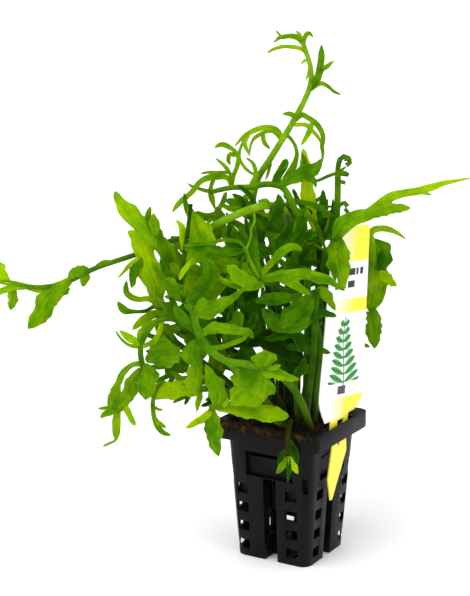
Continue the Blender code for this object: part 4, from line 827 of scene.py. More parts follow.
# %% The fronds that hang at the left
grow_frond("drooping_left_frond", "leaf_bright", 0.7,
    stalk((1.6, 1.4, 1.2, 1.1, 1.1, 1.1), (17, 26, 30, 31, 31, 31, 31, 32), (-7, 61), (-24, 85), (-42, 104),
        (-54, 112.6), (-63, 112.4), (-69, 106), (-71.8, 98), (-70.6, 89), lit=0.5),
    blade((31.4, 31), (-62.6, 113, 2), (-67.7, 110, 3.8), (-70.5, 106, 4.4), (-72.4, 101.5, 3)),
    blade((31, 34), (-71.6, 100.8, 2.4), (-75, 103, 3.2), (-78.5, 105, 3.2), (-81.7, 107.6, 0.7)),
    blade((31, 28), (-71.8, 99.8, 1.8), (-77, 100.6, 1.3), (-80.5, 103.3, 1), (-83.4, 107.6, 0.5)),
    blade((31, 33, 31), (-61.4, 113, 2), (-62.2, 108.5, 2.4), (-64.5, 103.5, 2.2), (-68, 101.2, 2),
        (-72, 99.4, 1.4)),
    blade((31.6, 34), (-69.2, 93, 3.2), (-65, 95.4, 9), (-60.4, 96.8, 13.5), (-56.4, 98.2, 11),
        (-53, 99.6, 1.5), lit=0.56),
    blade((32, 35), (-69.6, 91.6, 3.4), (-68, 86, 7.4), (-68.8, 81, 8.4), (-69.8, 77, 6.4),
        (-70.4, 74, 1.2)),
    blade((31, 30), (-70.6, 91.6, 2.2), (-75.5, 91, 2.4), (-79.5, 87.5, 2.6), (-82.3, 82, 3.2),
        (-84.5, 76.5, 4.6), (-86.4, 71.5, 5), (-85.4, 67.6, 2.6)),
    blade((32, 30), (-70, 90, 3), (-74, 84.5, 5.6), (-77.5, 78.5, 6.2), (-80.6, 73, 6.6), (-83.4, 68.8, 5.6),
        (-85.6, 67, 2)),
    blade((30, 33), (-84, 69, 3), (-88, 67, 3), (-91.6, 64.6, 1)),
    blade((30, 27), (-86, 70, 2), (-89, 69.3, 1.5), (-92.3, 69.4, 0.5)),
    blade((30, 31), (-83, 69.4, 3.4), (-83.7, 62, 3.8), (-84.2, 57, 3.4), (-84.6, 53.8, 1.2), (-87, 52.2, 1),
        (-90.3, 50.3, 0.9)),
    blade((30, 33), (-79.6, 71, 3), (-77.5, 66, 2.9), (-75.7, 63, 2.4), (-74.3, 61.2, 0.6)),
)
grow_frond("low_left_frond", "leaf_bright", 0.7,
    stalk((1.5, 1.3, 1.3), (11.4, 25, 28, 28), (-16, 63), (-24, 74), (-34, 79), (-44, 79.4)),
    blade((28, 28, 27), (-42, 79, 4.4), (-48, 79.4, 6.6), (-54, 79.1, 7.2), (-60, 78.4, 7.4),
        (-65.6, 77.4, 6.4), (-69.6, 76.6, 1.6)),
    blade((28, 28, 31), (-60.4, 83.4, 1.4), (-64, 79.5, 1.8), (-66, 73.5, 2), (-66, 67.5, 2.2),
        (-64.5, 61.5, 2.4), (-61.5, 57.8, 2.4), (-57.8, 56.2, 0.8)),
    blade((28.4, 31), (-66.3, 70.6, 1.2), (-63.5, 69, 1.1), (-61.3, 68.8, 0.5)),
    blade((30, 28), (-65.6, 65, 1.6), (-63, 61.8, 2.2), (-60, 60.3, 0.7)),
    blade((28, 25), (-50, 81, 3), (-53.4, 84.6, 3.2), (-57.6, 87.8, 0.8)),
    blade((28, 31), (-43.6, 79.4, 2), (-44.2, 74, 2.9), (-45.6, 68.3, 0.8)),
)

# %% [markdown]
# In front, a frond arches over the pot's rim, nearest to the eye, and a low one lies just above the rim.

# %% The front fronds
grow_frond("front_low_frond", "leaf_bright", 0.74,
    stalk((1.5, 1.4, 1.3, 1.2), (21.4, 33, 37, 40, 40), (-2.4, 61), (-12, 66.4), (-24, 70), (-34, 70.5),
        (-39.4, 70)),
    blade(40, (-36.6, 70.4, 3), (-30, 70.3, 5.2), (-22, 69.3, 6.5), (-14, 68.3, 6.9), (-7, 67.4, 6.2),
        (-3.2, 67, 4.2), (-1.4, 66.8, 1.2)),
    blade((40, 37), (-38.2, 70.6, 4), (-37.9, 64, 6.6), (-37.2, 58, 7.5), (-36.3, 52, 5.5),
        (-35.3, 46.3, 0.8)),
    blade((40, 42), (-38, 68.6, 3), (-43, 64.6, 3.3), (-47, 62.2, 2.7), (-50.6, 60.2, 0.6)),
    blade((40, 41, 39), (-36.6, 70.4, 5), (-35.2, 74, 7.6), (-35.4, 78, 7.8), (-37, 83, 6.6),
        (-39.2, 87.4, 4), (-41.6, 91, 1)),
    blade((40, 42), (-33.6, 70.6, 1.8), (-31.2, 72.6, 1.9), (-30.4, 75.4, 0.7)),
)
grow_frond("front_arching_frond", "leaf_bright", 0.76,
    stalk((1.7, 1.6, 1.5, 1.4, 1.2), (20.6, 35, 43, 45, 45, 45, 44, 43, 41, 38), (10.2, 57.8), (2.6, 77),
        (-8, 88), (-20, 91.4), (-30, 92.8), (-36, 96), (-42, 102), (-45, 109), (-47, 117), (-51.6, 123.6),
        lit=(0.6, 0.52, 0.6, 0.5)),
    stalk((1.2, 1.1, 0.7), (39, 38, 36, 35, 34, 33), (-49.6, 120.4), (-51.6, 123.6), (-52.6, 131),
        (-51.4, 140), (-49.2, 154), (-47.4, 168), lit=0.2),
    blade((45, 47), (-13.8, 89.6, 8), (-13.2, 93.5, 11.4), (-12.8, 96.6, 9.4), (-12.4, 98.9, 4), lit=0.68),
    blade((45, 47), (-15, 88.8, 5), (-9, 87.9, 5.2), (-4.5, 86.5, 4.2), (-0.5, 84.9, 2.6), (3.3, 84.3, 0.6),
        lit=0.64),
    blade((45, 48), (-11.4, 89.6, 2.2), (-8, 90.4, 2.2), (-5.2, 91.8, 0.5), lit=0.62),
    blade((45, 44), (-18, 92.6, 8), (-18.6, 88, 17.5), (-19.6, 83, 19), (-21.6, 78.4, 15.6),
        (-24.8, 74.8, 10), (-28.8, 71.4, 2.4), lit=(0.44, 0.62, 0.78)),
    blade((35, 31, 30), (-51.3, 139.6, 2.4), (-46.4, 144.4, 9), (-43.4, 150, 13), (-44.4, 155, 10.8),
        (-45.6, 159.4, 7.2), (-46.7, 163.2, 3.8), (-47.8, 166.4, 0.8)),
    blade((34, 31, 30), (-50.6, 146, 2), (-51.6, 152, 3), (-51.6, 157.4, 2.8), (-54.4, 160.4, 0.8)),
    blade((39, 36), (-51.2, 122.6, 2), (-54, 126.4, 6), (-57.4, 129.8, 6.4), (-61, 131.6, 1.6), lit=0.5),
    blade((40, 38), (-50, 121.4, 3), (-43.6, 125.4, 7), (-40, 131.4, 7.8), (-39.2, 138, 6), (-41, 143, 1.2),
        lit=0.46),
    blade((41.6, 41), (-46.4, 115.6, 5), (-42.6, 117.4, 10.5), (-37.6, 119.2, 7.2), (-32, 122, 4.2),
        (-26.6, 124.8, 2.4), (-21, 128.3, 0.7), lit=0.58),
    # Finer lobes
    blade((43, 42, 42), (-43.6, 106, 3), (-37, 109.5, 4.5), (-30, 108.6, 4), (-24, 107.6, 3.4),
        (-20.2, 107.2, 2.8), (-18.4, 104.6, 1), lit=0.62),
    blade((44, 43), (-39, 99.4, 2), (-33.2, 100.1, 2), (-28.4, 102, 2), (-24.2, 103.8, 1.8),
        (-20.9, 106.2, 1.2), lit=0.62),
    blade((43, 41, 40), (-43.8, 104, 4), (-45.6, 99.6, 9), (-45.4, 95, 10), (-44, 90.4, 5), lit=0.5),
    blade((38, 37), (-53, 132.6, 1.6), (-51.6, 136, 2.2), (-49.4, 138.6, 2.2), (-47.4, 141.6, 1), lit=0.85),
    blade((35, 33), (-51.8, 139, 2), (-47.6, 137.4, 4.4), (-42.6, 134.8, 5), (-36.4, 130.6, 1), lit=0.5),
    blade((40, 42), (-46.6, 112.6, 1.4), (-50, 113, 4), (-53.4, 116, 4), (-55.6, 120, 1), lit=0.5),
)

# %% [markdown]
# On the right, one lobe reaches out past the tag, a young frond is still coiled, as a fern's are at first,
# and a broad leaf hangs behind the tag.

# %% The right fronds
grow_frond("right_frond", "leaf_green", 0.8,
    stalk((1.7, 1.6, 1.4, 1.2), (15.4, 17, 18, 21, 24), (7.4, 60), (10.6, 85), (12, 118), (15, 142),
        (19.6, 152), lit=0.3),
    blade((24, 25, 26), (19.4, 151.4, 3), (22.5, 158, 8), (28, 161.5, 6.5), (34, 163.8, 5.5), (39, 167.5, 5),
        (44, 171.3, 4), (50, 173.2, 3), (56, 174.7, 3), (62, 176.5, 2.8), (68, 178.5, 2.2), (74, 180, 1.3),
        (80.6, 181.3, 0.5), lit=(0.48, 0.72, 0.92, 0.95)),
    blade((25, 28), (33, 162.6, 3), (40, 165.6, 5), (45, 166.8, 4.8), (49.5, 167, 3.5), (53.6, 166.6, 0.6)),
    blade((26, 27), (54.6, 174.6, 1.6), (59, 174, 1.4), (63.2, 172.8, 0.5)),
    blade((24, 26), (20.2, 154, 4), (20.5, 149, 8), (20.9, 144, 10), (21.5, 139, 8.5), (22.8, 134, 5),
        (24.3, 128.4, 0.7), lit=(0.44, 0.62, 0.7)),
    blade((25, 27), (18.4, 141, 3), (19.2, 136.5, 3), (20, 132.4, 0.7), lit=0.5),
)
grow_frond("fiddlehead", "leaf_green", 0.52,
    stalk((1.5, 1.3, 1.2), (2, 3, 4, 5, 5), (11, 63.6), (14, 100), (17, 140), (19.8, 160), (20.2, 175),
        (20.1, 183)),
    stalk((1.2, 1.1, 1), 5, (20.2, 180), (20.1, 184), (20.8, 188.5), (22.5, 190.3), (24.5, 190),
        (25.6, 188.3), (25, 186.6), (23.9, 186.2)),
    stalk((1.2, 1.6), (5, 5.6), (24.4, 190), (24.7, 188.6)),
    stalk((1, 1.3, 0.7), (5, 5.4), (20.2, 182.5), (22.8, 182.6), (25.2, 181.8)),
    stalk((0.9, 0.8), 5, (20.3, 179), (23.7, 178.2)),
    stalk((1, 1), (4.6, 5), (20, 166.6), (22.4, 169), (24, 168.6), (24.8, 167.2)),
    stalk((0.9, 0.8), (4.4, 5), (19.6, 162), (22, 161.4), (24.6, 163), (25, 165), (23.6, 166.2)),
)
grow_frond("back_right_frond", "leaf_green", 0.7,
    stalk((1.6, 1.4, 1.3), (-9, -8, -7, -6, -5), (6, 68.5), (15, 88), (25, 108), (32, 124), (36.6, 140),
        (36, 153)),
    blade((-5, -7, -6), (36.2, 151, 3), (36.6, 145, 9), (37.2, 138, 12.6), (37.8, 131, 12.6),
        (37.6, 124, 9.5), (37.4, 117, 4.6), lit=0.58),
    blade((-6, -3), (40, 137, 5), (44, 133.6, 4.4), (48.2, 130.2, 0.8), lit=0.84),
    blade((-6, -9), (37.4, 120, 3), (37.8, 114, 6.8), (38, 108, 7.8), (38.2, 103.5, 4.4), (38.2, 100.3, 1)),
    blade((-5, -2), (35.6, 152, 2), (36.6, 156.2, 3), (41, 157.4, 2.8), (46, 156, 2), (52, 152.8, 0.5)),
    blade((-6, -6), (35.4, 152, 3), (38.5, 149, 9), (41, 143, 9), (42, 136, 5), lit=0.34),
)

# %% [markdown]
# The middle is a thicket. Its front lobes are drawn one by one, and the shaded ones behind them only fill
# it: they are of the usual form, and most get side lobes by chance.

# %% The front of the middle
grow_frond("middle_right_frond", "leaf_green", 0.6,
    stalk((1.6, 1.4, 1.2), (15.5, 22.4, 23, 24, 30, 36), (11, 59.6), (11.2, 78), (12.6, 104), (5, 122),
        (-7, 129), (-15.8, 133.6), lit=0.42),
    blade((36, 37, 36), (-15, 132.6, 2.4), (-5, 134.5, 5), (3, 135.5, 4.6), (10, 134.5, 4), (16, 133, 3.5),
        (20, 130.5, 2.2), (24.2, 128.2, 0.5)),
    blade((36, 39), (-7, 133.4, 3), (0, 131, 4), (4, 128.5, 3.5), (8, 126, 0.8)),
    blade((37, 40), (8, 134.4, 3), (12, 132.3, 2.8), (14.6, 131, 0.7)),
    blade((36, 33), (-16, 133.4, 1.6), (-10, 141, 3), (-5, 146, 3.6), (0, 148.4, 3), (4.2, 147.2, 0.6)),
    blade((36, 38), (-13.6, 129.8, 3), (-19.6, 131.4, 6), (-25.6, 134.4, 6.4), (-31, 139, 1.6)),
    blade((36, 33), (-15.6, 133.4, 2.4), (-18.6, 140, 6), (-19.4, 147, 5.6), (-17.6, 153, 1.2), lit=0.42),
    # Finer lobes
    stalk((0.8, 0.7), 36, (-15.8, 133.6), (-19.6, 140.6), (-22, 147.2)),
    blade((36, 37, 37), (-22, 147.4, 1.2), (-24.7, 150.3, 1.1), (-28.4, 151.3, 1.2), (-33.1, 151.3, 1.2),
        (-37.7, 150.3, 1.2), (-43.3, 149.4, 1.4), (-50.7, 148.4, 1), lit=0.55),
    blade((36, 37), (-22.4, 146.8, 1.6), (-26.6, 145.8, 2.8), (-31.2, 146.3, 3), (-37.7, 147, 3),
        (-44.2, 146.8, 2.8), (-50.7, 147, 1), lit=0.45),
    stalk((0.6, 0.4), (36, 34), (-22, 147), (-20.5, 149.9), (-19.6, 153.2), (-19.6, 156.4), (-18, 159.7),
        (-18.2, 164.9), lit=0.7),
    blade((36, 33), (-21, 140, 2), (-26, 138.4, 6), (-32, 140.4, 7.4), (-38, 144, 5), (-42, 146, 1.4),
        lit=0.52),
    blade((37, 38), (-15, 129.6, 2.4), (-20, 128.7, 2.6), (-26, 129.6, 2.8), (-32, 131.6, 2.4),
        (-36, 134, 1), lit=0.62),
    blade((36, 34.5), (9.4, 133.4, 1.2), (6.7, 129.9, 1.4), (4.8, 127.5, 1.6), (2, 125.1, 2.4),
        (-2.2, 123.7, 3.7), (-8.3, 123.7, 5.1), (-13, 123.2, 4.2), (-17.7, 122.8, 1), lit=0.42),
    blade((36, 35), (-21.4, 145, 1), (-24, 141, 1.4), (-24, 136, 1.4), (-22, 132.6, 1), lit=0.4),
    blade((36, 35), (-20.8, 143.4, 1), (-21.6, 139, 1.3), (-19.6, 134.6, 1.3), (-16.6, 132, 0.8), lit=0.5),
)
grow_frond("middle_low_frond", "leaf_green", 0.46,
    stalk((1.6, 1.4, 1.2), (20.4, 25, 28, 30), (6.4, 58.6), (8, 78), (10, 100), (11, 128), lit=0.36),
    blade((29.6, 32), (11, 128, 3), (7.6, 122.4, 8.4), (2.8, 117, 10), (-2.4, 112, 8), (-6.4, 108.4, 1.6)),
    blade((29.6, 31), (10.8, 128.6, 2.6), (14.2, 127, 4.8), (17.4, 123.2, 3.4), (19.8, 118.4, 0.6)),
    blade((29, 30), (10.4, 115.4, 2), (14, 117, 3.6), (17.6, 116.2, 2.4), (20.4, 115.2, 0.6)),
    blade((29, 33), (10.4, 116.4, 2.4), (4, 112.4, 7), (-3, 111.6, 8), (-9.4, 114, 6.4), (-15, 118.4, 1.4)),
    blade((28, 30), (9.6, 96.6, 2), (5.4, 101, 4.6), (2, 106.4, 4.4), (0, 111, 1.2)),
)
grow_frond("shaded_middle_frond", "leaf_deep", 0.32,
    stalk((1.5, 1.3, 1.2), (8, 18, 22, 23), (-2, 64), (-9, 80), (-17, 94), (-22, 103)),
    blade((23, 24, 25), (-22, 101.6, 4), (-14, 104.6, 9.5), (-4, 101, 11), (2, 96.8, 7), (5.8, 92.8, 2)),
    blade((23, 25), (-21, 101, 3), (-27, 104, 7), (-32, 109.4, 7), (-35.4, 115, 1.6)),
    blade((23, 21), (-21.6, 102.4, 3), (-22.4, 109, 7.4), (-20.4, 116, 8), (-17, 122, 1.6)),
    blade((20, 23), (-14.6, 89.4, 2.4), (-20, 90.6, 6), (-25.4, 94.6, 6), (-30.4, 99, 1.4)),
    blade((20, 22), (-12.6, 87, 2.4), (-7.4, 91, 5), (-2.4, 93.6, 4), (1.4, 93.4, 1)),
    # Finer lobes
    blade((22.6, 26), (-21.6, 102, 3), (-23, 96, 6), (-20.6, 91, 5), (-17, 87, 1.4), lit=0.36),
    dense=True,
)
grow_frond("short_stem_frond", "leaf_green", 0.5,
    stalk((1.2, 1), (18.5, 24, 26), (3.4, 59), (2, 74), (1.4, 88)),
    blade((26, 23), (1, 87, 1), (4, 89.2, 4.4), (7, 90.3, 3.4), (9, 90, 0.6)),
    blade((25.8, 28), (1.6, 84.6, 2), (4.4, 90, 4), (6, 95.6, 1)),
)
grow_frond("hanging_leaf", "leaf_bright", 0.8,
    stalk((1.3, 1.2, 1), (12.8, 32, 38, 37), (-2.8, 62.6), (-16, 78), (-30, 92), (-40, 97.6), (-45, 94)),
    blade((37, 36), (-45, 95, 2.6), (-45.8, 88, 6.8), (-46.9, 81.6, 6.6), (-47.8, 77, 1.2)),
)

# %% The thick of the middle
grow_frond("low_middle_frond", "leaf_green", 0.46,
    stalk((1.4, 1.3, 1.2), (8, 16, 20.5, 20.5, 20.5), (-13.4, 64.4), (-22, 75), (-34, 86), (-46, 95),
        (-56, 103)),
    blade((20.5, 22), (-54, 101.6, 3), (-58.4, 104.6, 6), (-62, 109, 5), (-64, 114.4, 1.2)),
    blade((20.5, 19), (-46, 95, 3), (-51.4, 93.4, 8), (-56.6, 89.6, 7), (-60, 84.6, 1.4)),
    blade((20.5, 22), (-44, 93.6, 3), (-45.4, 100, 7.6), (-48.4, 105.6, 7), (-53, 109.6, 1.4)),
    blade((20.5, 19), (-36, 87.8, 3), (-42, 86.4, 8), (-47.6, 83, 7), (-52.4, 78.4, 1.4)),
    blade((20.5, 22), (-34, 86, 3), (-34.4, 93.6, 8), (-36.6, 100.6, 7.6), (-40.6, 106.4, 1.4)),
    blade((17.4, 18), (-24.6, 77.2, 3), (-29.6, 78.4, 7), (-35.4, 77.4, 7), (-40.4, 74.4, 1.4)),
    dense=True,
)
grow_frond("middle_left_frond", "leaf_green", 0.5,
    stalk((1.5, 1.4, 1.2), (14, 22, 25, 26), (-11, 62), (-24, 84), (-36, 102), (-44, 116)),
    blade((26, 27, 25), (-43, 114.6, 3), (-47, 122, 9), (-50.4, 129, 10), (-54, 135, 7), (-57.6, 140, 1.6)),
    blade((25, 28), (-42.4, 112.6, 3), (-49.4, 113.6, 7), (-55.6, 117, 6.4), (-60.4, 121.6, 1.4)),
    blade((26, 24), (-43.6, 115.4, 2.6), (-39.6, 122.4, 7), (-37.4, 130, 8), (-37.2, 137, 5.4),
        (-38.4, 143, 1.2)),
    blade((24, 26), (-34, 98.6, 2.6), (-40, 101.4, 6), (-45.4, 104.6, 6), (-50.6, 105.6, 1.4)),
    blade((24, 32), (-34.4, 98.6, 2.2), (-29, 104.6, 6.4), (-26.4, 111.4, 6.6), (-26.4, 118, 1.4)),
    dense=True,
)
grow_frond("upper_left_frond", "leaf_green", 0.44,
    stalk((1.5, 1.4, 1.2), (4, 8, 10, 12, 12), (-10, 65), (-20, 92), (-30, 118), (-37, 138), (-41, 150)),
    blade((12, 13, 11), (-40.4, 148, 3), (-43, 155, 5), (-46, 161, 4.4), (-49.4, 166.4, 2.8),
        (-50.8, 173, 0.8)),
    blade((12, 14), (-40, 147, 2.6), (-36.6, 153.4, 6.4), (-34.6, 160, 6.4), (-35.4, 167, 1.4)),
    blade((12, 9, 4), (-38.6, 142.6, 2.6), (-45.4, 145, 6), (-51.4, 148.6, 6), (-56.6, 153, 1.4)),
    blade((11, 13), (-35.6, 135, 2.6), (-30, 139, 7), (-26.4, 145, 7.4), (-25, 152, 1.6)),
    blade((10, 12), (-34, 130, 2.6), (-41, 131, 6.4), (-48, 134.6, 6.4), (-54, 139.6, 1.4)),
    blade((10, 8), (-30.6, 119.6, 2.6), (-24.4, 123, 7), (-19.6, 128.6, 7.4), (-17.4, 135, 1.6)),
    # Finer lobes
    blade((12, 13), (-45.6, 164, 2), (-41, 162.4, 3.6), (-36.7, 162.4, 3.4), (-32.6, 164, 1), lit=0.42),
)
grow_frond("upper_middle_frond", "leaf_green", 0.4,
    stalk((1.6, 1.4, 1.2), (2, 11, 16, 17, 17), (-1, 64.6), (-4, 96), (-7, 124), (-9, 146), (-12, 158)),
    blade((17, 16, 14), (-11.8, 156, 3), (-15.4, 161.6, 7), (-20.6, 165.6, 7), (-26.6, 168.4, 4.6),
        (-31.6, 169.6, 1.2)),
    blade((17, 21, 21), (-11.4, 155, 2.6), (-9, 161, 4.6), (-6.6, 167.6, 4.6), (-7, 173, 1.2), lit=0.3),
    blade((17, 19), (-9.8, 149, 2.6), (-3.4, 151.6, 7), (2.4, 156, 6.4), (6.4, 162, 1.4)),
    blade((17, 19), (-9.4, 146, 2.6), (-16.4, 146.6, 7), (-23.4, 149.6, 7.4), (-29.6, 154.6, 1.6)),
    blade((16, 14), (-8, 136, 2.6), (-1.4, 138.4, 7), (4.6, 142, 6.4), (9.6, 147.6, 1.4)),
    blade((16, 18), (-7.6, 132, 2.6), (-14.4, 134, 7.4), (-20.6, 138.4, 7), (-25.4, 144.4, 1.4)),
    # Finer lobes
    blade((17.5, 19), (-17.6, 165.2, 1), (-13.1, 163.4, 1.8), (-7.1, 163.4, 1.8), (-3.9, 164.9, 1), lit=0.6),
    blade((17.5, 20), (-17, 166, 1.4), (-14.6, 168.6, 2.8), (-12.4, 169.4, 2.6), (-10.4, 168.4, 1),
        lit=0.68),
    dense=True,
)
grow_frond("upper_right_frond", "leaf_deep", 0.28,
    stalk((1.5, 1.3, 1.1), (6, 8, 8, 7), (5.6, 63), (9, 100), (12, 132), (12, 154)),
    blade((7, 8), (12, 152, 2.4), (13, 160, 4.4), (13.6, 168, 4), (13.2, 175, 1)),
    blade((7, 6, 5), (11.6, 153, 2.4), (9.6, 159, 4.4), (8, 166, 5.6), (6.6, 173, 5.8), (5.7, 181.7, 5.2),
        (4.8, 189, 4.4), (4.4, 194, 1.6), lit=1.0),
    blade((7, 5), (12, 148, 2), (6.8, 150.6, 3.6), (3.4, 155.6, 3), (2, 161, 0.8)),
    blade((7, 10), (12.4, 150, 2), (17, 156.4, 3), (18.4, 164.4, 2.6), (17.8, 171, 0.7)),
    blade((8, 5), (12, 132, 2.6), (5.4, 131, 7), (-0.6, 126.6, 7), (-4.4, 120.6, 1.6)),
    dense=True,
)

# %% [markdown]
# A small sprig hangs over the rim at the pot's front corner, on a thin stalk of its own.

# %% The sprig over the rim
grow_frond("rim_sprig", "leaf_green", 0.72,
    stalk((1.2, 1.1, 1.1), (15, 27, 34, 35.5), (-0.2, 61.6), (-0.4, 64), (-1.8, 57), (-1.3, 45), lit=0.05),
    blade((35, 36), (-1.3, 54.6, 1.6), (1, 49.4, 3.6), (3.2, 42.8, 0.7), lit=0.14),
    blade((35, 36), (-1.3, 50, 1.4), (-4.2, 47.6, 2.4), (-6.8, 42.4, 0.7), lit=0.16),
    blade((36, 36.5), (-1.3, 46.4, 2), (-4.4, 41.4, 3.4), (-7.4, 38, 0.8)),
    blade((36, 36.5), (-1.3, 46.4, 2), (1, 41.4, 3.2), (3.4, 38, 0.8)),
    blade((36, 37), (-1.3, 45.6, 2), (-1.2, 39, 2.2), (-1.5, 33.4, 0.7), lit=0.2),
)

# %% [markdown]
# The fronds at the back and the far side are plain ones of the same kind, so a function draws them: each
# is written down as where its stalk starts, where its leaf's tip is, both as across, up and near, and how
# long its leaf is.

# %% The fronds at the back
# Painted shade: the fronds at the back are given a small share of sun, painted into their green.
REAR_SUN = 0.34
REAR_FRONDS = {
    "rear_frond_1": ((-8.0, 70.6, -14.0), (-36.0, 146.0, -46.0), 44.0),
    "rear_frond_2": ((-3.0, 71.2, -17.0), (-22.0, 156.0, -62.0), 46.0),
    "rear_frond_3": ((2.5, 70.6, -15.0), (4.0, 164.0, -48.0), 40.0),
    "rear_frond_4": ((6.5, 70.8, -14.0), (8.0, 142.0, -76.0), 42.0),
    "rear_frond_5": ((-12.0, 68.6, -7.0), (-48.0, 120.0, -26.0), 38.0),
    "rear_frond_6": ((-5.5, 71.6, -19.5), (-18.0, 118.0, -74.0), 40.0),
    "rear_frond_7": ((11.0, 69.6, -9.0), (26.0, 116.0, -38.0), 36.0),
}


def rear_frond(start, tip, reach):
    """A frond that arches away from the viewer, with paired lobes that shorten towards its tip."""
    start, tip = Vector(start), Vector(tip)
    knee = Vector((start.x * 0.7 + tip.x * 0.3, tip.y + 5.0, start.z * 0.45 + tip.z * 0.55))

    def spine(t):
        return start * (1 - t) ** 2 + knee * 2 * t * (1 - t) + tip * t**2

    spots = [spine(k / 5) for k in range(6)]
    parts = [stalk((1.6, 0.9), tuple(spot.z for spot in spots), *[(spot.x, spot.y) for spot in spots])]
    for k, share in enumerate((0.6, 0.8)):
        foot = spine(share)
        ahead = (spine(share + 0.1) - foot).normalized()
        for side in (-1, 1):
            aside = Vector((ahead.y * side, -ahead.x * side, 0.25 * side))
            length = reach * (0.46 - 0.1 * k)
            middle = foot + (ahead * 0.5 + aside) * length * 0.5
            end = foot + (ahead * 0.9 + aside * 0.9) * length
            points = ((foot.x, foot.y, 2.4), (middle.x, middle.y, length * 0.42), (end.x, end.y, 1.4))
            parts.append(blade((foot.z, middle.z, end.z), *points))
    foot, end = spine(0.9), tip + (tip - spine(0.9)).normalized() * reach * 0.13
    points = ((foot.x, foot.y, 2), (tip.x, tip.y, 5.6), (end.x, end.y, 1.2))
    parts.append(blade((foot.z, tip.z, end.z), *points))
    return parts


for name, written in REAR_FRONDS.items():
    grow_frond(name, "leaf_deep", REAR_SUN, *rear_frond(*written), dense=True)

# %% [markdown]
# ## Net pot
#
# The basket is injection-moulded polypropylene, black and satin. Its solid already has the true walls,
# lobes, windows and rim, so a copy of that solid is merged, and every sharp edge gets the small radius
# that a moulding has.

# %% Net pot
MOULD_RADIUS = 0.38 * MM
MOULDED_FROM = math.radians(32)
SMOOTH_BELOW = math.radians(28)
MERGE = 0.004 * MM
CLOUD = 11.0
SCUFF = 1.4
SCRATCH = 0.05


def merged_copy(name, angle):
    """A copy of a frame solid's mesh with its loose triangles joined and its flat faces whole."""
    bm = bmesh.new()
    bm.from_mesh(bpy.data.objects[name].data)
    bmesh.ops.remove_doubles(bm, verts=bm.verts, dist=MERGE)
    bmesh.ops.dissolve_limit(bm, angle_limit=math.radians(angle), verts=bm.verts, edges=bm.edges)
    return bm


def pot_material():
    """Polypropylene from a polished mould: near black, satin, with a faint cloudiness and fine scuffs."""
    material, tree, shader = new_material("black_polypropylene", IOR=1.49, Specular_IOR_Level=0.11)
    spot = add(tree, "TexCoord").outputs["Object"]
    cloud = add(tree, "TexNoise", spot, 1 / (CLOUD * MM), 3.0)
    colour = add(tree, "ValToRGB", cloud, stops=((0.35, "#080809"), (0.68, "#0e0e10")))
    scuff = add(tree, "TexNoise", spot, 1 / (SCUFF * MM), 2.0, 0.7)
    rough = add(tree, "MapRange", scuff, 0.35, 0.7, 0.36, 0.52)
    bump = add(tree, "Bump", Strength=0.35, Distance=SCRATCH * MM, Height=scuff)
    fill(tree, shader, Base_Color=colour, Roughness=rough, Normal=bump)
    return material


def make_pot():
    bm = merged_copy("net_pot", 1.0)
    sharp = [edge for edge in bm.edges if edge.is_manifold and edge.calc_face_angle() > MOULDED_FROM]
    bmesh.ops.bevel(
        bm, geom=sharp, offset=MOULD_RADIUS, offset_type="OFFSET", affect="EDGES", segments=2, profile=0.5,
        material=-1, clamp_overlap=True,
    )
    piece = placed("basket", bm, pot_material())
    piece.data.shade_smooth()
    piece.data.set_sharp_from_angle(angle=SMOOTH_BELOW)
    return stands_for(piece, "net_pot")


basket = make_pot()
print("basket has", len(basket.data.polygons), "faces")

# %% [markdown]
# ## Root mat
#
# Aquarium ferns are grown in rock wool, which their roots bind into a brown mat. The mat is a copy of the
# solid, cut finer, pushed in and out by noise, and heaped up to the rim over the solid's flat top.

# %% Root mat
TUFT = 3.8
FIBRE = 0.7
FIBRE_DEPTH = 0.2
MAT_FACET = 2.2 * MM
LUMPS_A_METRE = 420.0
DENT = 1.1 * MM
HEAP_FROM = 54 * MM
HEAP_SPAN = 6 * MM
HEAP = 6.2 * MM
SPREAD = 0.04


def root_material(name, *browns):
    """Wet, fibrous root: dark, dull, with paler streaks where a fibre catches the light."""
    material, tree, shader = new_material(name, IOR=1.4, Specular_IOR_Level=0.2)
    spot = add(tree, "TexCoord").outputs["Object"]
    streak = add(tree, "TexNoise", spot, 1 / (TUFT * MM), 4.0, 0.65)
    colour = add(tree, "ValToRGB", streak, stops=tuple(zip((0.3, 0.5, 0.62, 0.74), browns)))
    rough = add(tree, "MapRange", streak, 0.3, 0.7, 0.45, 0.85)
    fibre = add(tree, "TexNoise", spot, 1 / (FIBRE * MM), 2.0)
    bump = add(tree, "Bump", Strength=0.6, Distance=FIBRE_DEPTH * MM, Height=fibre)
    fill(tree, shader, Base_Color=colour, Roughness=rough, Normal=bump)
    return material


MATTED = root_material("wet_root_mat", "#0a0603", "#1a1109", "#2c1c0e", "#43301a")
LOOSE = root_material("wet_root_thread", "#0e0905", "#211608", "#3e2c12", "#744c24")


def make_mat():
    bm = merged_copy("root_ball", 0.5)
    bmesh.ops.triangulate(bm, faces=bm.faces)
    for _ in range(4):
        long_edges = [edge for edge in bm.edges if edge.calc_length() > MAT_FACET]
        bmesh.ops.subdivide_edges(bm, edges=long_edges, cuts=1, use_grid_fill=False)
        bmesh.ops.triangulate(bm, faces=bm.faces)
    bm.normal_update()
    for vert in bm.verts:
        lump = noise.fractal(vert.co * LUMPS_A_METRE, 0.9, 2.1, 4)
        vert.co -= vert.normal * DENT * (0.55 + 0.8 * lump)
        heaped = max(0.0, min(1.0, (vert.co.z - HEAP_FROM) / HEAP_SPAN))
        vert.co.x *= 1 + SPREAD * heaped
        vert.co.y *= 1 + SPREAD * heaped
        vert.co.z += HEAP * heaped
    piece = placed("root_mat", bm, MATTED)
    piece.data.shade_smooth()
    return stands_for(piece, "root_ball")


root_mat = make_mat()
print("root mat has", len(root_mat.data.polygons), "faces")
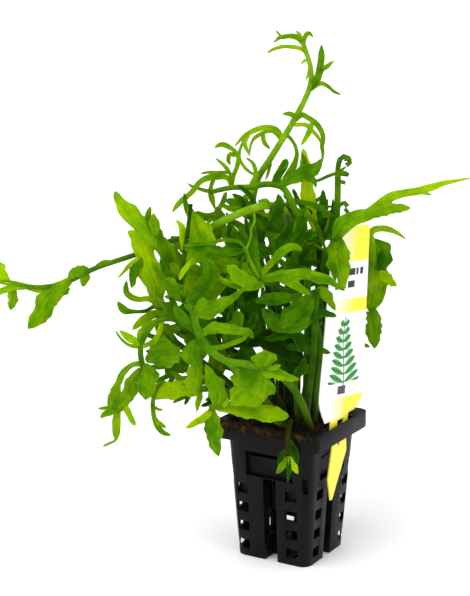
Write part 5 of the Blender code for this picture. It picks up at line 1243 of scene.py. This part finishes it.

# %% [markdown]
# Roots are thin tubes, grown as the stalks are. Most wander over the mat, between the stalks' feet, and
# some spill over the rim on the pot's near left side.

# %% Loose roots
ROOT_LIMIT = 26.4
ROOT_LOW = 62.5
ROOT_HIGH = 69.4
RIM_INSIDE = 21.6
OVER_RIM = 67.1
FIELD = 23.0
ROOT_SIDES = 5
ROOT_STEP = 1.4
SPILT_STEP = 1.0
ROOT_SIZES = (0.14, 0.34)
STRIDES = (1.6, 3.0)
LONGEST_DROP = 2.6
# The rim's near left side, as Y and height: its inner edge, its top, and its outer face
RIM_EDGE = 66.4
RIM_FACE = -28.0
RIM_SECTION = ((-23.6, 67.2), (-25.8, 67.4), (-27.5, 67.3), (-27.95, RIM_EDGE))


def wandering(draw, start, heading, steps, stride):
    """A run of points that keeps near the top of the mat and inside the pot."""
    points = [start.copy()]
    for _ in range(steps):
        swerve = Vector((draw.uniform(-0.7, 0.7), draw.uniform(-0.7, 0.7), draw.uniform(-0.45, 0.4)))
        heading = (heading + swerve).normalized()
        spot = points[-1] + heading * stride
        # The tag hangs over the rim's right side, so no root lies across that side.
        spot.x = max(-ROOT_LIMIT, min(RIM_INSIDE, spot.x))
        spot.y = max(-ROOT_LIMIT, min(ROOT_LIMIT, spot.y))
        lowest = OVER_RIM if max(abs(spot.x), abs(spot.y)) > RIM_INSIDE else ROOT_LOW
        spot.z = max(lowest, min(ROOT_HIGH, spot.z))
        points.append(spot)
    return points


def over_the_rim(draw):
    """A root that spills over the pot's near left side: out across the rim's top, then down its face."""
    start = draw.uniform(-26.0, 20.0)
    drift = draw.uniform(-5.0, 5.0)
    drop = draw.uniform(0.2, 1.0) ** 2 * LONGEST_DROP
    path = (*RIM_SECTION, (RIM_FACE, RIM_EDGE - drop))
    points = []
    for k, (y, z) in enumerate(path):
        x = start + drift * k / 2 + draw.uniform(-0.9, 0.9)
        points.append(Vector((x, y, z)))
    return points


def grow_roots(count, spilt):
    """The threads, each grown in a bmesh of its own, because an operator slows down as its mesh fills."""
    whole = bmesh.new()
    draw = random.Random(7)
    thread = bpy.data.meshes.new("thread")
    for number in range(count + spilt):
        angle = draw.uniform(0, math.tau)
        start = Vector((draw.uniform(-FIELD, FIELD), draw.uniform(-FIELD, FIELD), draw.uniform(64.0, 67.6)))
        heading = Vector((math.cos(angle), math.sin(angle), draw.uniform(-0.1, 0.5)))
        points = wandering(draw, start, heading, 6, draw.uniform(*STRIDES))
        step = ROOT_STEP
        if number >= count:
            points = over_the_rim(draw)
            step = SPILT_STEP
        line = curve_through([(*point, 1.0) for point in points], step)
        size = draw.uniform(*ROOT_SIZES)
        radii = [size * (1.0 - 0.6 * i / len(line)) for i in range(len(line))]
        bm = bmesh.new()
        grow_tube(bm, frames_along(line), radii, ROOT_SIDES)
        bm.to_mesh(thread)
        bm.free()
        whole.from_mesh(thread)
    bpy.data.meshes.remove(thread)
    return stands_for(drawn("root_threads", whole, LOOSE), "root_ball")


root_threads = grow_roots(420, 260)
print("root threads have", len(root_threads.data.polygons), "faces")

# %% [markdown]
# ## Plant tag
#
# The tag is a die-cut polypropylene card: glossy, 0.6 mm thick, bent where its stake slips behind the
# pot's rim. It starts as one flat face with the tag's outline, is cut into strips so that it can bend,
# given its thickness, and carried to its place.

# %% The flat card
TAG_THICK = 0.6
TAG_LOW = 31.0
TAG_HIGH = 160.0
TAG_HALF = 14.0
STRIP = 3.0
SLOT_LEFT = -2.6
SLOT_RIGHT = 3.4
SLOT_LOW = 57.8
SLOT_HIGH = 68.4
SLOT_TIP = (-1.0, 55.6)
SLOT_SLANT = (2.2, 1.6)


def cut_all(bm, point, normal):
    everything = bm.verts[:] + bm.edges[:] + bm.faces[:]
    bmesh.ops.bisect_plane(bm, geom=everything, plane_co=point, plane_no=normal, dist=0.0001)


def in_slot(spot):
    """Whether a spot lies in the slot, which runs down to a point."""
    if not SLOT_LEFT < spot.x < SLOT_RIGHT:
        return False
    if SLOT_LOW < spot.z < SLOT_HIGH:
        return True
    slope = abs(spot.x - SLOT_TIP[0]) * SLOT_SLANT[0] / SLOT_SLANT[1]
    return spot.z < SLOT_LOW and spot.z > SLOT_TIP[1] + slope and spot.x < 0.6


def tag_face():
    """The flat tag, with its slot cut out, in strips."""
    outline = (
        (-8.6, TAG_LOW), (-6.8, TAG_LOW), (7.3, 51.5), (7.0, 57.0), (8.2, 63.0), (8.2, 69.8),
        (14.0, 69.8), (11.0, TAG_HIGH - 1.6), (9.6, TAG_HIGH), (-9.6, TAG_HIGH), (-11.0, TAG_HIGH - 1.6),
        (-14.0, 69.8), (-9.6, 69.8), (-9.6, 62.0), (-7.4, 57.0), (-11.3, 42.0),
    )
    bm = bmesh.new()
    bm.faces.new([bm.verts.new((along, 0.0, height)) for along, height in outline])
    for along in (SLOT_LEFT, SLOT_RIGHT):
        cut_all(bm, (along, 0, 0), (1, 0, 0))
    for height in (SLOT_LOW, SLOT_HIGH):
        cut_all(bm, (0, 0, height), (0, 0, 1))
    for side in (1, -1):
        cut_all(bm, (SLOT_TIP[0], 0, SLOT_TIP[1]), (side * SLOT_SLANT[0], 0, SLOT_SLANT[1]))
    slot = [face for face in bm.faces if in_slot(face.calc_center_median())]
    bmesh.ops.delete(bm, geom=slot, context="FACES")
    for i in range(1, round((TAG_HIGH - TAG_LOW) / STRIP)):
        cut_all(bm, (0, 0, TAG_LOW + STRIP * i), (0, 0, 1))
    for along in (-9.0, -5.5, 0.4, 6.8, 10.2):
        cut_all(bm, (along, 0, 0), (1, 0, 0))
    return bm


print("flat tag has", len(tag_face().faces), "faces")

# %% [markdown]
# The print is drawn from a map of the flat card: yellow bands that fade to the left, two rows of plain,
# broken bars, and a simple sprig. It is all worked out by nodes, so that it stays sharp at any distance.

# %% Marks on the card
SOFT_EDGE = 0.15


def band(tree, value, low, high):
    """One between low and high, none outside."""
    rise = add(tree, "MapRange", value, low - SOFT_EDGE, low + SOFT_EDGE)
    fall = add(tree, "MapRange", value, high - SOFT_EDGE, high + SOFT_EDGE, 1.0, 0.0)
    return add(tree, "Math", rise, fall, operation="MULTIPLY")


def patch(tree, along, height, edges):
    """One inside a rectangle of the card, none outside."""
    low, high, left, right = edges
    upright = band(tree, height, low, high)
    return add(tree, "Math", upright, band(tree, along, left, right), operation="MULTIPLY")


print("printed edges are soft over", 2 * SOFT_EDGE, "mm")

# %% The printed sprig
STEM = (84.0, 117.5)
STEM_HALF = 0.4
STEM_WAVE = 0.16
STEM_SWING = 0.9
LEAVES = (86.0, 116.5)
LEAF_GAP = 4.0
LEAF_SLANT = 0.55
LEAF_FULL = 0.46
LONGEST_LEAF = 10.4
SHORTEST_LEAF = 2.4


def sprig_masks(tree, along, height):
    """Where the sprig is, and how far from its leaf's middle line a point is."""
    # How far a point is from the wavy stem, and where it is on the leaf beside it
    turn = add(tree, "Math", height, STEM_WAVE, operation="MULTIPLY")
    bend = add(tree, "Math", turn, operation="SINE")
    bend = add(tree, "Math", bend, STEM_SWING, operation="MULTIPLY")
    aside = add(tree, "Math", along, bend, operation="SUBTRACT")
    aside = add(tree, "Math", aside, operation="ABSOLUTE")
    slant = add(tree, "Math", aside, LEAF_SLANT, operation="MULTIPLY")
    climb = add(tree, "Math", height, slant, operation="SUBTRACT")
    climb = add(tree, "Math", climb, LEAF_GAP, operation="DIVIDE")
    step = add(tree, "Math", climb, operation="FRACT")
    reach = add(tree, "MapRange", height, 86.0, 117.0, LONGEST_LEAF, SHORTEST_LEAF)
    out_share = add(tree, "Math", aside, reach, operation="DIVIDE")
    off_middle = add(tree, "Math", step, 0.5, operation="SUBTRACT")
    off_middle = add(tree, "Math", off_middle, operation="ABSOLUTE")

    # A leaf bulges between the stem and its tip.
    bulge = add(tree, "Math", out_share, math.pi, operation="MULTIPLY")
    bulge = add(tree, "Math", bulge, operation="SINE")
    half_leaf = add(tree, "Math", bulge, LEAF_FULL, operation="MULTIPLY")
    leaf = add(tree, "Math", off_middle, half_leaf, operation="LESS_THAN")
    inside = add(tree, "Math", out_share, 1.0, operation="LESS_THAN")
    leaf = add(tree, "Math", leaf, inside, operation="MULTIPLY")
    leaf = add(tree, "Math", leaf, band(tree, height, *LEAVES), operation="MULTIPLY")
    stem = add(tree, "Math", aside, STEM_HALF, operation="LESS_THAN")
    stem = add(tree, "Math", stem, band(tree, height, *STEM), operation="MULTIPLY")
    return add(tree, "Math", leaf, stem, operation="MAXIMUM"), off_middle


print("sprig from", STEM[0], "to", STEM[1], "mm")

# %% Tag material
YELLOW_BANDS = ((143.5, 162.0), (119.5, 126.0), (20.0, 79.0))
BAR_GAP = 1.8
# Rectangles on the card: their lowest and highest, leftmost and rightmost edges
UPPER_BAR = (137.2, 140.4, -8.0, 8.6)
LOWER_BAR = (131.4, 134.6, -8.0, 4.2)
SPRIG_FOOT = (80.5, 84.6, -2.4, 2.4)
SPRIG_GREENS = ((0.0, "#1f6a2c"), (0.22, "#3f9647"), (0.4, "#74bd64"))
SHINE_WAVE = 16.0
SHINE_DEPTH = 0.1


def tag_material():
    """Polypropylene card under a gloss varnish: flat printed colours with a clean, slightly wavy shine."""
    material, tree, shader = new_material(
        "printed_tag_card", IOR=1.5, Roughness=0.34, Specular_IOR_Level=0.4,
    )
    chart = add(tree, "SeparateColor", add(tree, "Attribute", attribute_name="tag_map").outputs["Color"])
    share_across, share_up, front = chart.outputs
    along = add(tree, "MapRange", share_across, To_Min=-TAG_HALF, To_Max=TAG_HALF)
    height = add(tree, "MapRange", share_up, To_Min=TAG_LOW, To_Max=TAG_HIGH)

    # Yellow bands that fade towards the left, and a yellow stake
    bands = band(tree, height, *YELLOW_BANDS[0])
    for edges in YELLOW_BANDS[1:]:
        bands = add(tree, "Math", bands, band(tree, height, *edges), operation="MAXIMUM")
    fade = add(tree, "MapRange", along, -9.0, 4.0)
    low_part = add(tree, "MapRange", height, 69.0, 71.0, 1.0, 0.0)
    depth = add(tree, "Math", fade, low_part, operation="MAXIMUM")
    yellow = add(tree, "Math", bands, depth, operation="MULTIPLY")
    colour = add(tree, "Mix", yellow, "#ffffff", "#fdf03c", data_type="RGBA")

    # Two rows of plain bars, broken by gaps
    upper, lower = [patch(tree, along, height, edges) for edges in (UPPER_BAR, LOWER_BAR)]
    rows = add(tree, "Math", upper, lower, operation="MAXIMUM")
    broken = add(tree, "TexNoise", along, 1 / BAR_GAP, 0.0, noise_dimensions="1D")
    broken = add(tree, "MapRange", broken, 0.36, 0.4)
    bars = add(tree, "Math", rows, broken, operation="MULTIPLY")
    colour = add(tree, "Mix", bars, colour, "#262a22", data_type="RGBA")

    # The sprig and its foot are on the front only.
    sprig, off_middle = sprig_masks(tree, along, height)
    sprig = add(tree, "Math", sprig, front, operation="MULTIPLY")
    greens = add(tree, "ValToRGB", off_middle, stops=SPRIG_GREENS)
    colour = add(tree, "Mix", sprig, colour, greens, data_type="RGBA")
    foot = add(tree, "Math", patch(tree, along, height, SPRIG_FOOT), front, operation="MULTIPLY")
    colour = add(tree, "Mix", foot, colour, "#4b4a44", data_type="RGBA")

    waves = add(tree, "TexNoise", add(tree, "TexCoord").outputs["Object"], 1 / (SHINE_WAVE * MM), 2.0)
    bump = add(tree, "Bump", Strength=0.25, Distance=SHINE_DEPTH * MM, Height=waves)
    fill(tree, shader, Base_Color=colour, Normal=bump)
    return material


PRINTED = tag_material()
print("tag material has", len(PRINTED.node_tree.nodes), "nodes")

# %% [markdown]
# Behind the rim the card lies flat against the pot's side. Above it, the card leans out and turns towards
# the viewer.

# %% The bent tag
STAKE_TURN = 61.5
CARD_TURN = 21.5
BEND_FROM = 67.5
BEND_RUN = 12.0
BEHIND_RIM = 24.65
LEAN = 4.4


def tag_place(along, height, off):
    """Carries a point of the flat tag to where the bent, twisted tag has it."""
    rise = min(max((height - BEND_FROM) / BEND_RUN, 0.0), 1.0)
    ease = rise * rise * (3 - 2 * rise)
    turn = math.radians(STAKE_TURN - CARD_TURN * ease)
    run = ACROSS * math.cos(turn) - TOWARD * math.sin(turn)
    out = TOWARD * math.cos(turn) + ACROSS * math.sin(turn)
    lean = max(height - 80.0, 0.0) / 80.0
    middle = Vector((BEHIND_RIM + LEAN * lean, 1.2 + 0.8 * ease, height))
    return middle + run * along + out * off


def make_tag():
    bm = tag_face()
    layer = bm.verts.layers.float_color.new("tag_map")
    faces = bmesh.ops.extrude_face_region(bm, geom=bm.faces[:])["geom"]
    moved = [item for item in faces if isinstance(item, bmesh.types.BMVert)]
    bmesh.ops.translate(bm, vec=Vector((0.0, TAG_THICK, 0.0)), verts=moved)
    back = set(moved)
    for vert in bm.verts:
        along, height = vert.co.x, vert.co.z
        front = 0.0 if vert in back else 1.0
        vert[layer] = (along / TAG_HALF / 2 + 0.5, (height - TAG_LOW) / (TAG_HIGH - TAG_LOW), front, 1.0)
        vert.co = tag_place(along, height, TAG_THICK / 2 - vert.co.y)
    piece = drawn("printed_tag", bm, PRINTED)
    piece.data.set_sharp_from_angle(angle=math.radians(40))
    return stands_for(piece, "plant_tag")


tag = make_tag()
print("tag has", len(tag.data.polygons), "faces")

# %% [markdown]
# ## Finish
#

# %% Finish
bpy.context.view_layer.update()
